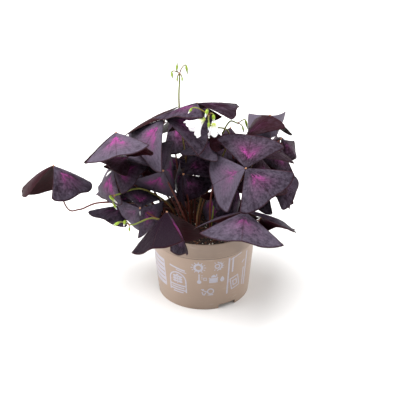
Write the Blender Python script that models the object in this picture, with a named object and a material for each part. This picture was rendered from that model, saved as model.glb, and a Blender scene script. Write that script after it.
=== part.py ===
# Potted purple shamrock: a taupe nursery pot, its soil, thirty-odd three-bladed leaves and the
# flower stalks. Metres, +Z up, the pot axis on Z, the pot standing on z = 0.
# Sizes are set below in millimetres and used through MM.
import bpy
import bmesh
from math import sin, cos, pi, radians
from mathutils import Vector, Matrix

MM = 0.001
UP = Vector((0.0, 0.0, 1.0))

# Pot: a standard 12 cm nursery pot, tapered, with a collar band under the lip.
POT_HEIGHT = 90.0
POT_LIP_RADIUS = 60.0
POT_COLLAR_FOOT_RADIUS = 59.4
POT_BODY_TOP_RADIUS = 57.9
POT_FOOT_RADIUS = 51.5
POT_COLLAR_BOTTOM = 71.0
POT_WALL = 1.5
POT_FLOOR_LOW = 4.5
POT_FLOOR_HIGH = 6.3
POT_PAD_RADIUS = 15.0
POT_NOTCH_WIDE = 24.0
POT_NOTCH_AT = (-59.0, 61.0, 181.0)
POT_DRAIN_RADIUS = 4.0
POT_DRAIN_AT = (1.0, 61.0, 121.0, 181.0, 241.0, 301.0)
POT_DRAIN_CIRCLE = 33.0
POT_SIDES = 36

# Soil: fills the pot to just under the lip, uneven on top, a blind hole for each stem.
SOIL_TOP = 82.0
SOIL_GAP = 0.4
SOIL_LUMP = 1.2
HOLE_DEPTH = 8.0
HOLE_GAP = 0.35
HOLE_SIDES = 5

# Leaf parts.
BLADE_THICK = 0.8
PETIOLE_FOOT_RADIUS = 1.35
PETIOLE_TIP_RADIUS = 0.95
KNOB_RADIUS = 1.9
ROOT_STEP = 0.3
STEM_SIDES = 4

# Half outline of a leaflet: how far the edge stands from the junction, from midrib to side.
EDGE_AT = (0.0, 0.15, 0.3, 0.5, 0.7, 0.85, 0.95, 1.0)
EDGE_REACH = (0.86, 0.88, 0.915, 0.965, 1.0, 1.0, 0.975, 0.925)
# Rows of points from the junction out, each with its own spread of points across.
ROWS = (
    (0.60, (-1.0, -0.5, 0.0, 0.5, 1.0)),
    (1.00, (-1.0, -0.82, -0.42, 0.0, 0.42, 0.82, 1.0)),
)

# Each leaf: where its three leaflets join (x, y, z mm), how far the leaf leans (degrees) and
# towards which side (0 is +X, 90 is +Y), the way its first leaflet points, how far the leaflets
# hang, leaflet length, half spread, fold along the midrib, curl towards the tip, then small
# changes of hang and of direction for the three leaflets, and where the stem stands in the soil.
LEAVES = {
    "leaf_far_left": {
        "at": (-164.9, -4.6, 158.5), "lean": (15, 105), "heading": 335, "hang": 30, "size": 52, "spread": 47,
        "fold": 10, "curl": 25, "dip": (1, 10, -8), "swing": (-6, 10, -35),
        "foot": (-42.2, -7.6), "pull": (0.9, 1.2), "via": ((-62, -7, 108), (-84, -10, 115), (-117, -16, 118), (-138, -15, 109), (-153, -10, 110),),
    },
    "leaf_left_upper": {
        "at": (-93.5, -27.2, 210.6), "lean": (25, 130), "heading": 265, "hang": 20, "size": 49, "spread": 46,
        "fold": 5, "curl": 20, "dip": (2, 25, 4), "swing": (3, 10, 15),
        "foot": (-26, -4), "pull": (1.18, 1.22), "via": ((-53, 20, 135), (-86, 14, 162),),
    },
    "leaf_left_middle": {
        "at": (-99.2, -5.7, 154.2), "lean": (25, 195), "heading": 210, "hang": 20, "size": 42, "spread": 45,
        "fold": 5, "curl": 30, "dip": (15, -20, 24), "swing": (4, -5, 7),
        "foot": (-38.7, -4.2), "pull": (0.34, 0.59), "via": ((-79, 7, 131),),
    },
    "leaf_front_centre": {
        "at": (-44, -26.4, 164), "lean": (60, 285), "heading": 260, "hang": 35, "size": 46, "spread": 40,
        "fold": 5, "curl": 25, "dip": (10, 15, -3), "swing": (1, -5, -20),
        "foot": (-17.7, -15.9), "pull": (0.47, 0.3),
    },
    "leaf_left_lower": {
        "at": (-69.1, -44.2, 127.6), "lean": (60, 285), "heading": 95, "hang": 35, "size": 44, "spread": 38,
        "fold": 15, "curl": 25, "dip": (8, 19, -4), "swing": (-9, 10, -3),
        "foot": (-27.4, -30.8), "pull": (0.38, 0.3),
    },
    "leaf_front_low": {
        "at": (-39, -81.1, 144.1), "lean": (35, 110), "heading": 230, "hang": 45, "size": 58, "spread": 42,
        "fold": 10, "curl": 25, "dip": (-8, 21, -15), "swing": (1, 0, -15),
        "foot": (-19.9, -36.9), "pull": (0.65, 0.26),
    },
    "leaf_centre_low": {
        "at": (-22.2, -13.7, 152.9), "lean": (45, 250), "heading": 290, "hang": 40, "size": 47, "spread": 41,
        "fold": 20, "curl": 30, "dip": (10, -27, 8), "swing": (1, -15, 10),
        "foot": (-14.7, -2.7), "pull": (0.33, 0.28),
    },
    "leaf_right_front": {
        "at": (44.4, -53.9, 181.4), "lean": (35, 265), "heading": 315, "hang": 10, "size": 52, "spread": 47,
        "fold": 5, "curl": 20, "dip": (-17, -10, 14), "swing": (-7, 5, -4),
        "foot": (7.1, -20.1), "pull": (1.01, 0.31), "via": ((12, -35, 153),),
    },
    "leaf_right_low": {
        "at": (43.8, -76.4, 141.4), "lean": (20, 65), "heading": 260, "hang": 25, "size": 59, "spread": 50,
        "fold": 10, "curl": 20, "dip": (-6, -23, -6), "swing": (6, 17, -2),
        "foot": (13.8, -36.4), "pull": (0.79, 0.25),
    },
    "leaf_top_left": {
        "at": (-42.5, -9.5, 218.2), "lean": (17, 242), "heading": 223, "hang": 25, "size": 60, "spread": 41,
        "fold": 5, "curl": 30, "dip": (8, -17, -2), "swing": (-15, 7, 21),
        "foot": (-18.9, 4.4), "pull": (0.9, 0.69), "via": ((-54, 26, 172),),
    },
    "leaf_top": {
        "at": (-7.4, 13.3, 226), "lean": (15, 135), "heading": 355, "hang": 20, "size": 52, "spread": 38,
        "fold": 5, "curl": 15, "dip": (-8, 18, -24), "swing": (-1, -8, 5),
        "foot": (-9.9, 2.3), "pull": (0.63, 0.62), "via": ((-10, 37, 187),),
    },
    "leaf_pale": {
        "at": (74.2, 44.7, 196), "lean": (40, 265), "heading": 305, "hang": 45, "size": 46, "spread": 41,
        "fold": 25, "curl": 30, "dip": (17, 23, -8), "swing": (7, 13, 24),
        "foot": (24.5, 15.2), "pull": (0.25, 0.57), "via": ((39, 27, 156),),
    },
    "leaf_centre_upper": {
        "at": (12, 2.5, 186.8), "lean": (20, 65), "heading": 235, "hang": 20, "size": 42, "spread": 38,
        "fold": 10, "curl": 25, "dip": (-5, -9, -17), "swing": (0, 15, 5),
        "foot": (28.6, -6.6), "pull": (1.03, 0.94), "via": ((33, 25, 155),),
    },
    "leaf_left_bottom": {
        "at": (-89.9, 12.5, 99.2), "lean": (15, 55), "heading": 235, "hang": 15, "size": 42, "spread": 42,
        "fold": 5, "curl": 20, "dip": (-5, -25, -25), "swing": (0, 7, -15),
        "foot": (-21.7, 16.7), "pull": (0.64, 0.39),
    },
    "leaf_right_inner": {
        "at": (61.8, -2.6, 167.7), "lean": (15, 20), "heading": 290, "hang": 25, "size": 50, "spread": 43,
        "fold": 15, "curl": 20, "dip": (4, -35, -4), "swing": (2, 18, 15),
        "foot": (37.9, 4.5), "pull": (0.34, 0.87),
    },
    "leaf_right_outer": {
        "at": (70.6, -2.5, 141.7), "lean": (15, 250), "heading": 340, "hang": 20, "size": 42, "spread": 45,
        "fold": 15, "curl": 25, "dip": (-6, 8, 23), "swing": (1, -15, -12),
        "foot": (32.8, 9), "pull": (0.28, 1.28),
    },
    "leaf_right_bottom": {
        "at": (63.1, -26.1, 104.2), "lean": (10, 90), "heading": 295, "hang": 5, "size": 42, "spread": 40,
        "fold": 20, "curl": 15, "dip": (-15, 8, -2), "swing": (0, -6, -15),
        "foot": (27.5, -15), "pull": (0.36, 0.33),
    },
    "leaf_inner_low": {
        "at": (13.5, 5.6, 124.6), "lean": (20, 190), "heading": 210, "hang": 35, "size": 45, "spread": 42,
        "fold": 20, "curl": 25, "dip": (5, 29, -25), "swing": (0, -12, 11),
        "foot": (11.3, -3.5), "pull": (0.41, 0.76),
    },
    "leaf_inner_right": {
        "at": (35, -23, 146), "lean": (30, 345), "heading": 325, "hang": 35, "size": 44, "spread": 44,
        "fold": 25, "curl": 35, "dip": (5, 22, 25), "swing": (0, 15, 2),
        "foot": (24.9, -10.1), "pull": (0.55, 0.36),
    },
    "leaf_left_under": {
        "at": (-78, 7, 162.9), "lean": (15, 40), "heading": 230, "hang": 10, "size": 43, "spread": 44,
        "fold": 10, "curl": 20, "dip": (-10, -5, 25), "swing": (-10, 15, -15),
        "foot": (-42, 1.8), "pull": (0.98, 0.27),
    },
    "leaf_right_upper": {
        "at": (45.3, 4.1, 188), "lean": (15, 170), "heading": 290, "hang": 5, "size": 46, "spread": 40,
        "fold": 15, "curl": 15, "dip": (-9, -25, -30), "swing": (4, -15, 17),
        "foot": (18.1, 26.3), "pull": (0.93, 0.56), "via": ((53, 17, 141),),
    },
    "leaf_right_edge": {
        "at": (88.5, 68.1, 154.8), "lean": (45, 270), "heading": 320, "hang": 35, "size": 42, "spread": 38,
        "fold": 45, "curl": 25, "dip": (1, 25, 18), "swing": (1, 3, -9),
        "foot": (33, 26.6), "pull": (0.25, 0.66), "via": ((50, 37, 137),),
    },
    "leaf_back_1": {
        "at": (30.3, 61.6, 172.1), "lean": (30, 70), "heading": 20, "hang": 25, "size": 50, "spread": 44,
        "fold": 10, "curl": 22, "dip": (25, 26, 28), "swing": (3, -15, 13),
        "foot": (9.8, 33), "pull": (0.41, 0.96), "via": ((20, 51, 111),),
    },
    "leaf_back_2": {
        "at": (-39.2, 72, 174.9), "lean": (30, 120), "heading": 70, "hang": 25, "size": 50, "spread": 44,
        "fold": 10, "curl": 22, "dip": (-26, -25, 24), "swing": (4, 5, 8),
        "foot": (-26.6, 29.6), "pull": (0.32, 1.26),
    },
    "leaf_back_3": {
        "at": (87.3, 62.8, 148.1), "lean": (38, 37), "heading": 50, "hang": 25, "size": 48, "spread": 44,
        "fold": 10, "curl": 22, "dip": (32, 22, 3), "swing": (28, 10, -28),
        "foot": (22.4, 31.2), "pull": (0.58, 1.14),
    },
    "leaf_back_4": {
        "at": (-88, 55, 150), "lean": (35, 150), "heading": 150, "hang": 25, "size": 48, "spread": 44,
        "fold": 10, "curl": 22, "dip": (-13, 28, -3), "swing": (15, 15, 10),
        "foot": (-29.7, 25.7), "pull": (0.26, 0.46),
    },
    "leaf_back_5": {
        "at": (-2.2, 101.3, 140), "lean": (45, 90), "heading": 90, "hang": 25, "size": 50, "spread": 44,
        "fold": 10, "curl": 22, "dip": (-16, -20, 25), "swing": (-10, -11, -3),
        "foot": (4.3, 42.2), "pull": (0.27, 1.21),
    },
    "leaf_back_6": {
        "at": (55.6, 91, 113.2), "lean": (47, 58), "heading": 5, "hang": 25, "size": 46, "spread": 44,
        "fold": 10, "curl": 22, "dip": (25, 25, 4), "swing": (-6, 12, 12),
        "foot": (28.1, 26.3), "pull": (0.25, 0.73),
    },
    "leaf_back_7": {
        "at": (-49.6, 88.6, 122.2), "lean": (45, 120), "heading": 45, "hang": 25, "size": 46, "spread": 44,
        "fold": 10, "curl": 22, "dip": (24, -27, 10), "swing": (13, 13, -1),
        "foot": (-18.2, 27.7), "pull": (0.49, 0.26), "via": ((-40, 68, 110),),
    },
    "leaf_back_8": {
        "at": (-93.1, 48.7, 121.7), "lean": (35, 165), "heading": 101, "hang": 25, "size": 46, "spread": 44,
        "fold": 10, "curl": 22, "dip": (7, -29, 25), "swing": (12, -15, -3),
        "foot": (-36.3, 21.5), "pull": (0.54, 0.83),
    },
    "leaf_back_9": {
        "at": (98, 37.5, 125), "lean": (40, 33), "heading": 82, "hang": 25, "size": 46, "spread": 44,
        "fold": 10, "curl": 22, "dip": (15, 27, 24), "swing": (16, -15, 15),
        "foot": (37.6, 11.1), "pull": (0.7, 0.6),
    },
}

# Flower stalks: stem, thin stalks to the buds, and the white petals.
STALK_FOOT_RADIUS = 1.2
STALK_TIP_RADIUS = 0.85
PEDICEL_RADIUS = 0.6
PETAL_THICK = 0.6

# Each stalk: its foot, a point it passes, its top, the way it arrives there and its buds. Each
# bud: where it starts, the way it points, the way its thin stalk leaves the top, length, radius.
STALKS = {
    # Tall stalk with its ring of nodding buds, standing well above the leaves.
    "stalk_tall": {
        "foot": (-13.2, 10.8), "via": ((-26, 10, 212),), "top": (-26.0, 17.0, 259.0),
        "arrive": (0.0, 0.0, 1.0), "steps": 5,
        "buds": (
            {"base": (-29.0, 16.5, 264.0), "way": (0.05, 0.0, 1.0), "leave": (-3.0, 0.0, 2.0), "length": 11.0, "radius": 1.9},
            {"base": (-34.5, 15.0, 261.5), "way": (0.1, 0.0, -1.0), "leave": (-9.0, -2.0, 12.0), "length": 9.5, "radius": 1.8},
            {"base": (-19.0, 19.0, 267.5), "way": (0.16, 0.05, -1.0), "leave": (4.0, 2.0, 22.0), "length": 12.0, "radius": 2.0},
            {"base": (-28.6, 14.0, 255.5), "way": (0.0, -0.1, -1.0), "leave": (-3.0, -5.0, 3.0), "length": 6.0, "radius": 1.4},
            {"base": (-23.4, 14.6, 255.5), "way": (0.0, -0.1, -1.0), "leave": (3.0, -4.0, 3.0), "length": 6.0, "radius": 1.4},
        ),
    },
    # Stalk in bloom over the middle leaves: two open flowers and two buds on arched stems.
    "stalk_bloom": {
        "foot": (-5, -3.6), "via": ((28, 28, 177),), "top": (5.0, -34.0, 233.8),
        "arrive": (0.1, -0.2, 1.0), "steps": 5,
        "buds": (
            {"base": (3.5, -39.0, 242.8), "way": (-0.25, -0.1, -1.0), "leave": (-2.0, -4.0, 14.0), "length": 9.0, "radius": 2.3},
            {"base": (10.0, -37.0, 235.8), "way": (0.05, -0.1, -1.0), "leave": (5.0, -2.0, 14.0), "length": 9.0, "radius": 2.3},
            {"base": (5.0, -42.0, 229.3), "way": (0.0, -0.05, -1.0), "leave": (0.0, -8.0, 10.0), "length": 9.0, "radius": 1.8},
            {"base": (-13.0, -30.0, 239.8), "way": (-0.5, 0.0, -0.8), "leave": (-9.0, 2.0, 12.0), "length": 7.0, "radius": 1.8},
        ),
    },
    # Stalk leaning out to the right over the pale leaf.
    "stalk_right": {
        "foot": (-8.1, -17.9), "via": ((-1, 3, 121), (24, 24, 191),), "top": (38.0, 23.0, 197.0),
        "arrive": (1.0, 0.0, 0.05), "steps": 6,
        "buds": (
            {"base": (46.0, 24.0, 200.0), "way": (0.25, 0.0, -1.0), "leave": (7.0, 0.0, 7.0), "length": 13.0, "radius": 1.8},
            {"base": (43.0, 21.0, 193.0), "way": (0.2, -0.2, -1.0), "leave": (5.0, -2.0, 0.0), "length": 7.0, "radius": 1.5},
        ),
    },
    # Low stalk hanging out at the lower left with a few buds.
    "stalk_low": {
        "foot": (-19.9, -32.1), "via": ((-53, -45, 115),), "top": (-81.0, -50.0, 110.0),
        "arrive": (-1.0, -0.2, 0.3), "steps": 5,
        "buds": (
            {"base": (-92.0, -50.0, 113.0), "way": (-1.0, 0.0, -0.75), "leave": (-8.0, 0.0, 5.0), "length": 11.0, "radius": 2.2},
            {"base": (-85.5, -50.0, 115.0), "way": (-0.2, 0.0, -1.0), "leave": (-3.0, 0.0, 6.0), "length": 7.5, "radius": 2.1},
            {"base": (-81.0, -52.0, 107.0), "way": (0.1, -0.1, -1.0), "leave": (0.0, -3.0, -2.0), "length": 6.0, "radius": 1.7},
        ),
    },
    # Pair of buds showing at the far left between two leaves.
    "stalk_left": {
        "foot": (-31, 2.6), "via": ((-64, -19, 136),), "top": (-97.0, -35.0, 138.0),
        "arrive": (-1.0, -0.4, -0.1), "steps": 5,
        "buds": (
            {"base": (-102.0, -37.0, 138.0), "way": (0.7, 0.0, -0.75), "leave": (-6.0, -1.0, 2.0), "length": 12.0, "radius": 2.0},
            {"base": (-98.0, -38.0, 129.0), "way": (0.4, 0.0, -0.8), "leave": (-2.0, -3.0, -4.0), "length": 8.0, "radius": 1.8},
        ),
    },
    # A cut stem left standing in the middle.
    "stalk_stub": {
        "foot": (4.3, -15.8), "via": ((8, -15, 86),), "top": (11.0, -10.0, 113.0),
        "arrive": (0.0, 0.1, 1.0), "steps": 3, "buds": (),
    },
}
BLOOMS = {
    "bloom_left": {"base": (0.6, -34.3, 231.3), "way": (-0.80, -0.35, -0.62), "neck": 1.6, "mouth": 11.0, "long": 20.0},
    "bloom_right": {"base": (10.3, -32.4, 224.4), "way": (0.12, -0.25, -0.95), "neck": 1.6, "mouth": 7.0, "long": 14.0},
}


def lookup(x, xs, ys):
    """Straight-line reading of a small table of points."""
    for i in range(len(xs) - 1):
        if x <= xs[i + 1]:
            part = (x - xs[i]) / (xs[i + 1] - xs[i])
            return ys[i] + part * (ys[i + 1] - ys[i])
    return ys[-1]


def leaflet_point(s, t, size, spread, fold, curl):
    """A point of one leaflet in mm: x across, y outwards, z up, before it is turned into place.

    s runs 0 to 1 from the junction to the outer edge and t runs -1 to 1 from side to side.
    """
    reach = s * lookup(abs(t), EDGE_AT, EDGE_REACH)
    half = radians(spread + 2.0 - 2.0 * reach)
    x = reach * size * sin(t * half)
    y = reach * size * cos(t * half)
    soft = 0.03 * size
    drop = ((x * x + soft * soft) ** 0.5 - soft) * sin(radians(fold))
    x *= cos(radians(fold))
    c = radians(curl)
    turn = c * y / size
    return Vector((x, size / c * sin(turn) - drop * sin(turn),
                   -size / c * (1.0 - cos(turn)) - drop * cos(turn)))


def leaf_frame(lean, towards):
    """Rotation that leans the leaf's axis away from straight up."""
    return Matrix.Rotation(radians(lean), 3, Vector((-sin(radians(towards)), cos(radians(towards)), 0.0)))


def leaflet_frame(heading, hang):
    h = radians(heading)
    d = radians(hang)
    out = Vector((cos(h) * cos(d), sin(h) * cos(d), -sin(d)))
    top = Vector((cos(h) * sin(d), sin(h) * sin(d), cos(d)))
    side = out.cross(top)
    return Matrix((side, out, top)).transposed()


def curve_points(knots, start, end, steps):
    """Points of a smooth line through the knots, with its direction set at both ends."""
    slopes = [start]
    for i in range(1, len(knots) - 1):
        slopes.append((knots[i + 1] - knots[i - 1]) * 0.5)
    slopes.append(end)
    points = [knots[0].copy()]
    for i in range(len(knots) - 1):
        for j in range(1, steps + 1):
            u = j / steps
            a = 2 * u ** 3 - 3 * u ** 2 + 1
            b = u ** 3 - 2 * u ** 2 + u
            c = -2 * u ** 3 + 3 * u ** 2
            d = u ** 3 - u ** 2
            points.append(knots[i] * a + slopes[i] * b + knots[i + 1] * c + slopes[i + 1] * d)
    return points


def petiole_points(leaf, steps=None):
    """The stem's centre line in mm, from the bottom of its soil hole to the junction."""
    joint = Vector(leaf["at"])
    foot = Vector((leaf["foot"][0], leaf["foot"][1], SOIL_TOP + 2.0))
    axis = leaf_frame(leaf["lean"][0], leaf["lean"][1]) @ UP
    span = (joint - foot).length
    via = [Vector(p) for p in leaf.get("via", ())]
    rise, arrive = leaf.get("pull", (0.7, 0.9))
    if steps is None:
        steps = 7 if not via else 3
    reach = span if not via else span / (len(via) + 1)
    line = curve_points([foot] + via + [joint], UP * reach * rise, axis * reach * arrive, steps)
    return [Vector((foot.x, foot.y, SOIL_TOP - HOLE_DEPTH + HOLE_GAP))] + line


def new_object(name, bm):
    mesh = bpy.data.meshes.new(name)
    bm.to_mesh(mesh)
    bm.free()
    obj = bpy.data.objects.new(name, mesh)
    bpy.context.scene.collection.objects.link(obj)
    return obj


def zip_faces(bm, low, high, flip):
    """Triangles between two rows of (t, vertex), walking both rows in step."""
    i = 0
    j = 0
    while i < len(low) - 1 or j < len(high) - 1:
        step_high = j < len(high) - 1
        if step_high and i < len(low) - 1:
            gap_high = high[j][0] + high[j + 1][0]
            gap_low = low[i][0] + low[i + 1][0]
            step_high = gap_high <= gap_low
        if step_high:
            tri = (low[i][1], high[j][1], high[j + 1][1])
            j += 1
        else:
            tri = (low[i][1], high[j][1], low[i + 1][1])
            i += 1
        bm.faces.new(tri if not flip else tri[::-1])


def blade_mesh(place, size, spread, fold, curl, thick):
    """One leaflet as a closed blade of even thickness, split alike on both faces."""
    bm = bmesh.new()
    faces = []
    for side in (0.5, -0.5):
        rows = []
        tip = place(leaflet_point(0.0, 0.0, size, spread, fold, curl))
        lift = place(Vector((0.0, 0.0, 1.0))) - place(Vector((0.0, 0.0, 0.0)))
        rows.append([(0.0, bm.verts.new((tip + lift * thick * side) * MM))])
        for s, spans in ROWS:
            row = []
            for t in spans:
                here = leaflet_point(s, t, size, spread, fold, curl)
                e = 0.02
                du = leaflet_point(s, t + e, size, spread, fold, curl) - leaflet_point(s, t - e, size, spread, fold, curl)
                dv = leaflet_point(s + e, t, size, spread, fold, curl) - leaflet_point(s - e, t, size, spread, fold, curl)
                normal = du.cross(dv).normalized()
                spot = here + normal * thick * side
                row.append((t, bm.verts.new(place(spot) * MM)))
            rows.append(row)
        for low, high in zip(rows[:-1], rows[1:]):
            zip_faces(bm, low, high, side > 0.0)
        faces.append(rows)
    top, bottom = faces
    rim_top = [r[0][1] for r in top] + [v for _, v in top[-1][1:-1]] + [r[-1][1] for r in reversed(top[1:])]
    rim_low = [r[0][1] for r in bottom] + [v for _, v in bottom[-1][1:-1]] + [r[-1][1] for r in reversed(bottom[1:])]
    count = len(rim_top)
    for i in range(count):
        k = (i + 1) % count
        bm.faces.new((rim_top[i], rim_top[k], rim_low[k]))
        bm.faces.new((rim_top[i], rim_low[k], rim_low[i]))
    bmesh.ops.recalc_face_normals(bm, faces=bm.faces)
    return bm


def tube_mesh(points, radii, sides=STEM_SIDES):
    """A closed tube along points (mm), its ring carried along without twisting."""
    bm = bmesh.new()
    count = len(points)
    rings = []
    along = (points[1] - points[0]).normalized()
    side = along.orthogonal().normalized()
    for i, p in enumerate(points):
        ahead = points[min(i + 1, count - 1)] - points[max(i - 1, 0)]
        ahead.normalize()
        side = (side - ahead * side.dot(ahead)).normalized()
        other = ahead.cross(side)
        ring = []
        for k in range(sides):
            a = 2.0 * pi * k / sides
            ring.append(bm.verts.new((p + (side * cos(a) + other * sin(a)) * radii[i]) * MM))
        rings.append(ring)
    for low, high in zip(rings[:-1], rings[1:]):
        for k in range(sides):
            n = (k + 1) % sides
            bm.faces.new((low[k], low[n], high[n]))
            bm.faces.new((low[k], high[n], high[k]))
    bm.faces.new(rings[0][::-1])
    bm.faces.new(rings[-1])
    bmesh.ops.recalc_face_normals(bm, faces=bm.faces)
    return bm


def ball_mesh(centre, radius, stretch=1.0, axis=None, u=5, v=4):
    """A small ball, or an egg stretched along axis."""
    bm = bmesh.new()
    turn = Matrix.Identity(4)
    if axis is not None:
        turn = UP.rotation_difference(axis).to_matrix().to_4x4()
    size = Matrix.Diagonal((radius * MM, radius * MM, radius * stretch * MM, 1.0))
    bmesh.ops.create_uvsphere(bm, u_segments=u, v_segments=v, radius=1.0,
                              matrix=Matrix.Translation(centre * MM) @ turn @ size)
    bmesh.ops.triangulate(bm, faces=bm.faces)
    return bm


def fuse(name, meshes):
    """Joins closed meshes into one solid with a single Boolean over a collection."""
    first = new_object(name, meshes[0])
    pile = bpy.data.collections.new(name + "_pile")
    others = []
    for i, bm in enumerate(meshes[1:]):
        mesh = bpy.data.meshes.new(name + "_piece")
        bm.to_mesh(mesh)
        bm.free()
        piece = bpy.data.objects.new(name + "_piece", mesh)
        pile.objects.link(piece)
        others.append(piece)
    if others:
        join = first.modifiers.new("join", "BOOLEAN")
        join.operation = "UNION"
        join.operand_type = "COLLECTION"
        join.collection = pile
        join.solver = "EXACT"
        apply_modifiers(first)
        for piece in others:
            bpy.data.objects.remove(piece)
    bpy.data.collections.remove(pile)
    return first


def apply_modifiers(obj):
    graph = bpy.context.evaluated_depsgraph_get()
    done = bpy.data.meshes.new_from_object(obj.evaluated_get(graph))
    obj.modifiers.clear()
    obj.data = done


def leaf_pieces(leaf, thick=BLADE_THICK, extra=0.0):
    """The three blades, the knob and the stem of one leaf, as separate closed meshes."""
    joint = Vector(leaf["at"])
    frame = leaf_frame(leaf["lean"][0], leaf["lean"][1])
    pieces = []
    line = petiole_points(leaf)
    axis = frame @ UP
    line[-1] = joint - axis * 0.3
    count = len(line)
    radii = [PETIOLE_FOOT_RADIUS + (PETIOLE_TIP_RADIUS - PETIOLE_FOOT_RADIUS) * i / (count - 1) + extra
             for i in range(count)]
    pieces.append(tube_mesh(line, radii))
    pieces.append(ball_mesh(joint, KNOB_RADIUS + extra))
    for k in range(3):
        own = frame @ leaflet_frame(leaf["heading"] + 120.0 * k + leaf["swing"][k],
                                    leaf["hang"] + leaf["dip"][k])
        root = joint + axis * ROOT_STEP * (k - 1)
        pieces.append(blade_mesh(lambda p, own=own, root=root: own @ p + root, leaf["size"],
                                 leaf["spread"], leaf["fold"], leaf["curl"], thick))
    return pieces


def ring(bm, radius, z, count=POT_SIDES):
    return [bm.verts.new(Vector((radius * cos(2 * pi * k / count), radius * sin(2 * pi * k / count), z)) * MM)
            for k in range(count)]


def join_rings(bm, low, high):
    count = len(low)
    for k in range(count):
        n = (k + 1) % count
        bm.faces.new((low[k], low[n], high[n], high[k]))


def revolved(profile, sides=POT_SIDES):
    """A closed round part from a (radius, height) profile that starts and ends on the axis."""
    bm = bmesh.new()
    first = bm.verts.new((0.0, 0.0, profile[0][1] * MM))
    last = bm.verts.new((0.0, 0.0, profile[-1][1] * MM))
    rings = [ring(bm, r, z, sides) for r, z in profile[1:-1]]
    for low, high in zip(rings[:-1], rings[1:]):
        join_rings(bm, low, high)
    for k in range(sides):
        n = (k + 1) % sides
        bm.faces.new((first, rings[0][n], rings[0][k]))
        bm.faces.new((last, rings[-1][k], rings[-1][n]))
    bmesh.ops.recalc_face_normals(bm, faces=bm.faces)
    return bm


def cylinder_mesh(centre, radius, low, high, sides):
    bm = bmesh.new()
    rings = []
    for z in (low, high):
        rings.append([bm.verts.new(Vector((centre[0] + radius * cos(2 * pi * k / sides),
                                           centre[1] + radius * sin(2 * pi * k / sides), z)) * MM)
                      for k in range(sides)])
    join_rings(bm, rings[0], rings[1])
    bm.faces.new(rings[0][::-1])
    bm.faces.new(rings[1])
    bmesh.ops.recalc_face_normals(bm, faces=bm.faces)
    return bm


def sector_mesh(middle, wide, inner, outer, low, high, steps=4):
    """A block bent round the axis, for the notches in the foot ring."""
    bm = bmesh.new()
    cuts = []
    for i in range(steps + 1):
        a = radians(middle - wide / 2.0 + wide * i / steps)
        way = Vector((cos(a), sin(a), 0.0))
        cuts.append([bm.verts.new((way * r + UP * z) * MM)
                     for r, z in ((inner, low), (outer, low), (outer, high), (inner, high))])
    for a, b in zip(cuts[:-1], cuts[1:]):
        join_rings(bm, a, b)
    bm.faces.new(cuts[0])
    bm.faces.new(cuts[-1][::-1])
    bmesh.ops.recalc_face_normals(bm, faces=bm.faces)
    return bm


def carve(obj, cutters):
    """Cuts all the cutters out of obj in one Boolean over a collection."""
    pile = bpy.data.collections.new(obj.name + "_cuts")
    made = []
    for bm in cutters:
        mesh = bpy.data.meshes.new(obj.name + "_cut")
        bm.to_mesh(mesh)
        bm.free()
        cutter = bpy.data.objects.new(obj.name + "_cut", mesh)
        pile.objects.link(cutter)
        made.append(cutter)
    cut = obj.modifiers.new("cut", "BOOLEAN")
    cut.operation = "DIFFERENCE"
    cut.operand_type = "COLLECTION"
    cut.collection = pile
    cut.solver = "EXACT"
    apply_modifiers(obj)
    for cutter in made:
        bpy.data.objects.remove(cutter)
    bpy.data.collections.remove(pile)


def build_pot():
    profile = (
        (0.0, 0.0), (POT_PAD_RADIUS, 0.0), (POT_PAD_RADIUS + 1.0, POT_FLOOR_LOW),
        (POT_FOOT_RADIUS - 2.0, POT_FLOOR_LOW), (POT_FOOT_RADIUS - 1.8, 0.0), (POT_FOOT_RADIUS, 0.0),
        (POT_BODY_TOP_RADIUS, POT_COLLAR_BOTTOM), (POT_COLLAR_FOOT_RADIUS, POT_COLLAR_BOTTOM + 0.4),
        (POT_LIP_RADIUS - 0.1, POT_HEIGHT - 1.2), (POT_LIP_RADIUS - 0.1, POT_HEIGHT - 0.5),
        (POT_LIP_RADIUS - 0.5, POT_HEIGHT), (POT_LIP_RADIUS - 1.2, POT_HEIGHT),
        (POT_LIP_RADIUS - 0.1 - POT_WALL, POT_HEIGHT - 0.8),
        (POT_COLLAR_FOOT_RADIUS - POT_WALL, POT_COLLAR_BOTTOM + 1.6),
        (POT_BODY_TOP_RADIUS - POT_WALL, POT_COLLAR_BOTTOM - 0.4),
        (POT_FOOT_RADIUS - 0.9, POT_FLOOR_HIGH), (0.0, POT_FLOOR_HIGH),
    )
    pot = new_object("pot", revolved(profile))
    cutters = [sector_mesh(a, POT_NOTCH_WIDE, POT_FOOT_RADIUS - 3.5, POT_FOOT_RADIUS + 3.0, -2.0, POT_FLOOR_LOW + 0.5)
               for a in POT_NOTCH_AT]
    for a in POT_DRAIN_AT:
        spot = (POT_DRAIN_CIRCLE * cos(radians(a)), POT_DRAIN_CIRCLE * sin(radians(a)))
        cutters.append(cylinder_mesh(spot, POT_DRAIN_RADIUS, POT_FLOOR_LOW - 2.0, POT_FLOOR_HIGH + 2.0, 8))
    carve(pot, cutters)
    return pot


def soil_height(x, y):
    """Gently lumpy top of the soil, in mm."""
    return SOIL_TOP + SOIL_LUMP * 0.5 * (sin(x * 0.17 + 1.3) * cos(y * 0.21) + sin(x * 0.09 - y * 0.13))


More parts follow.
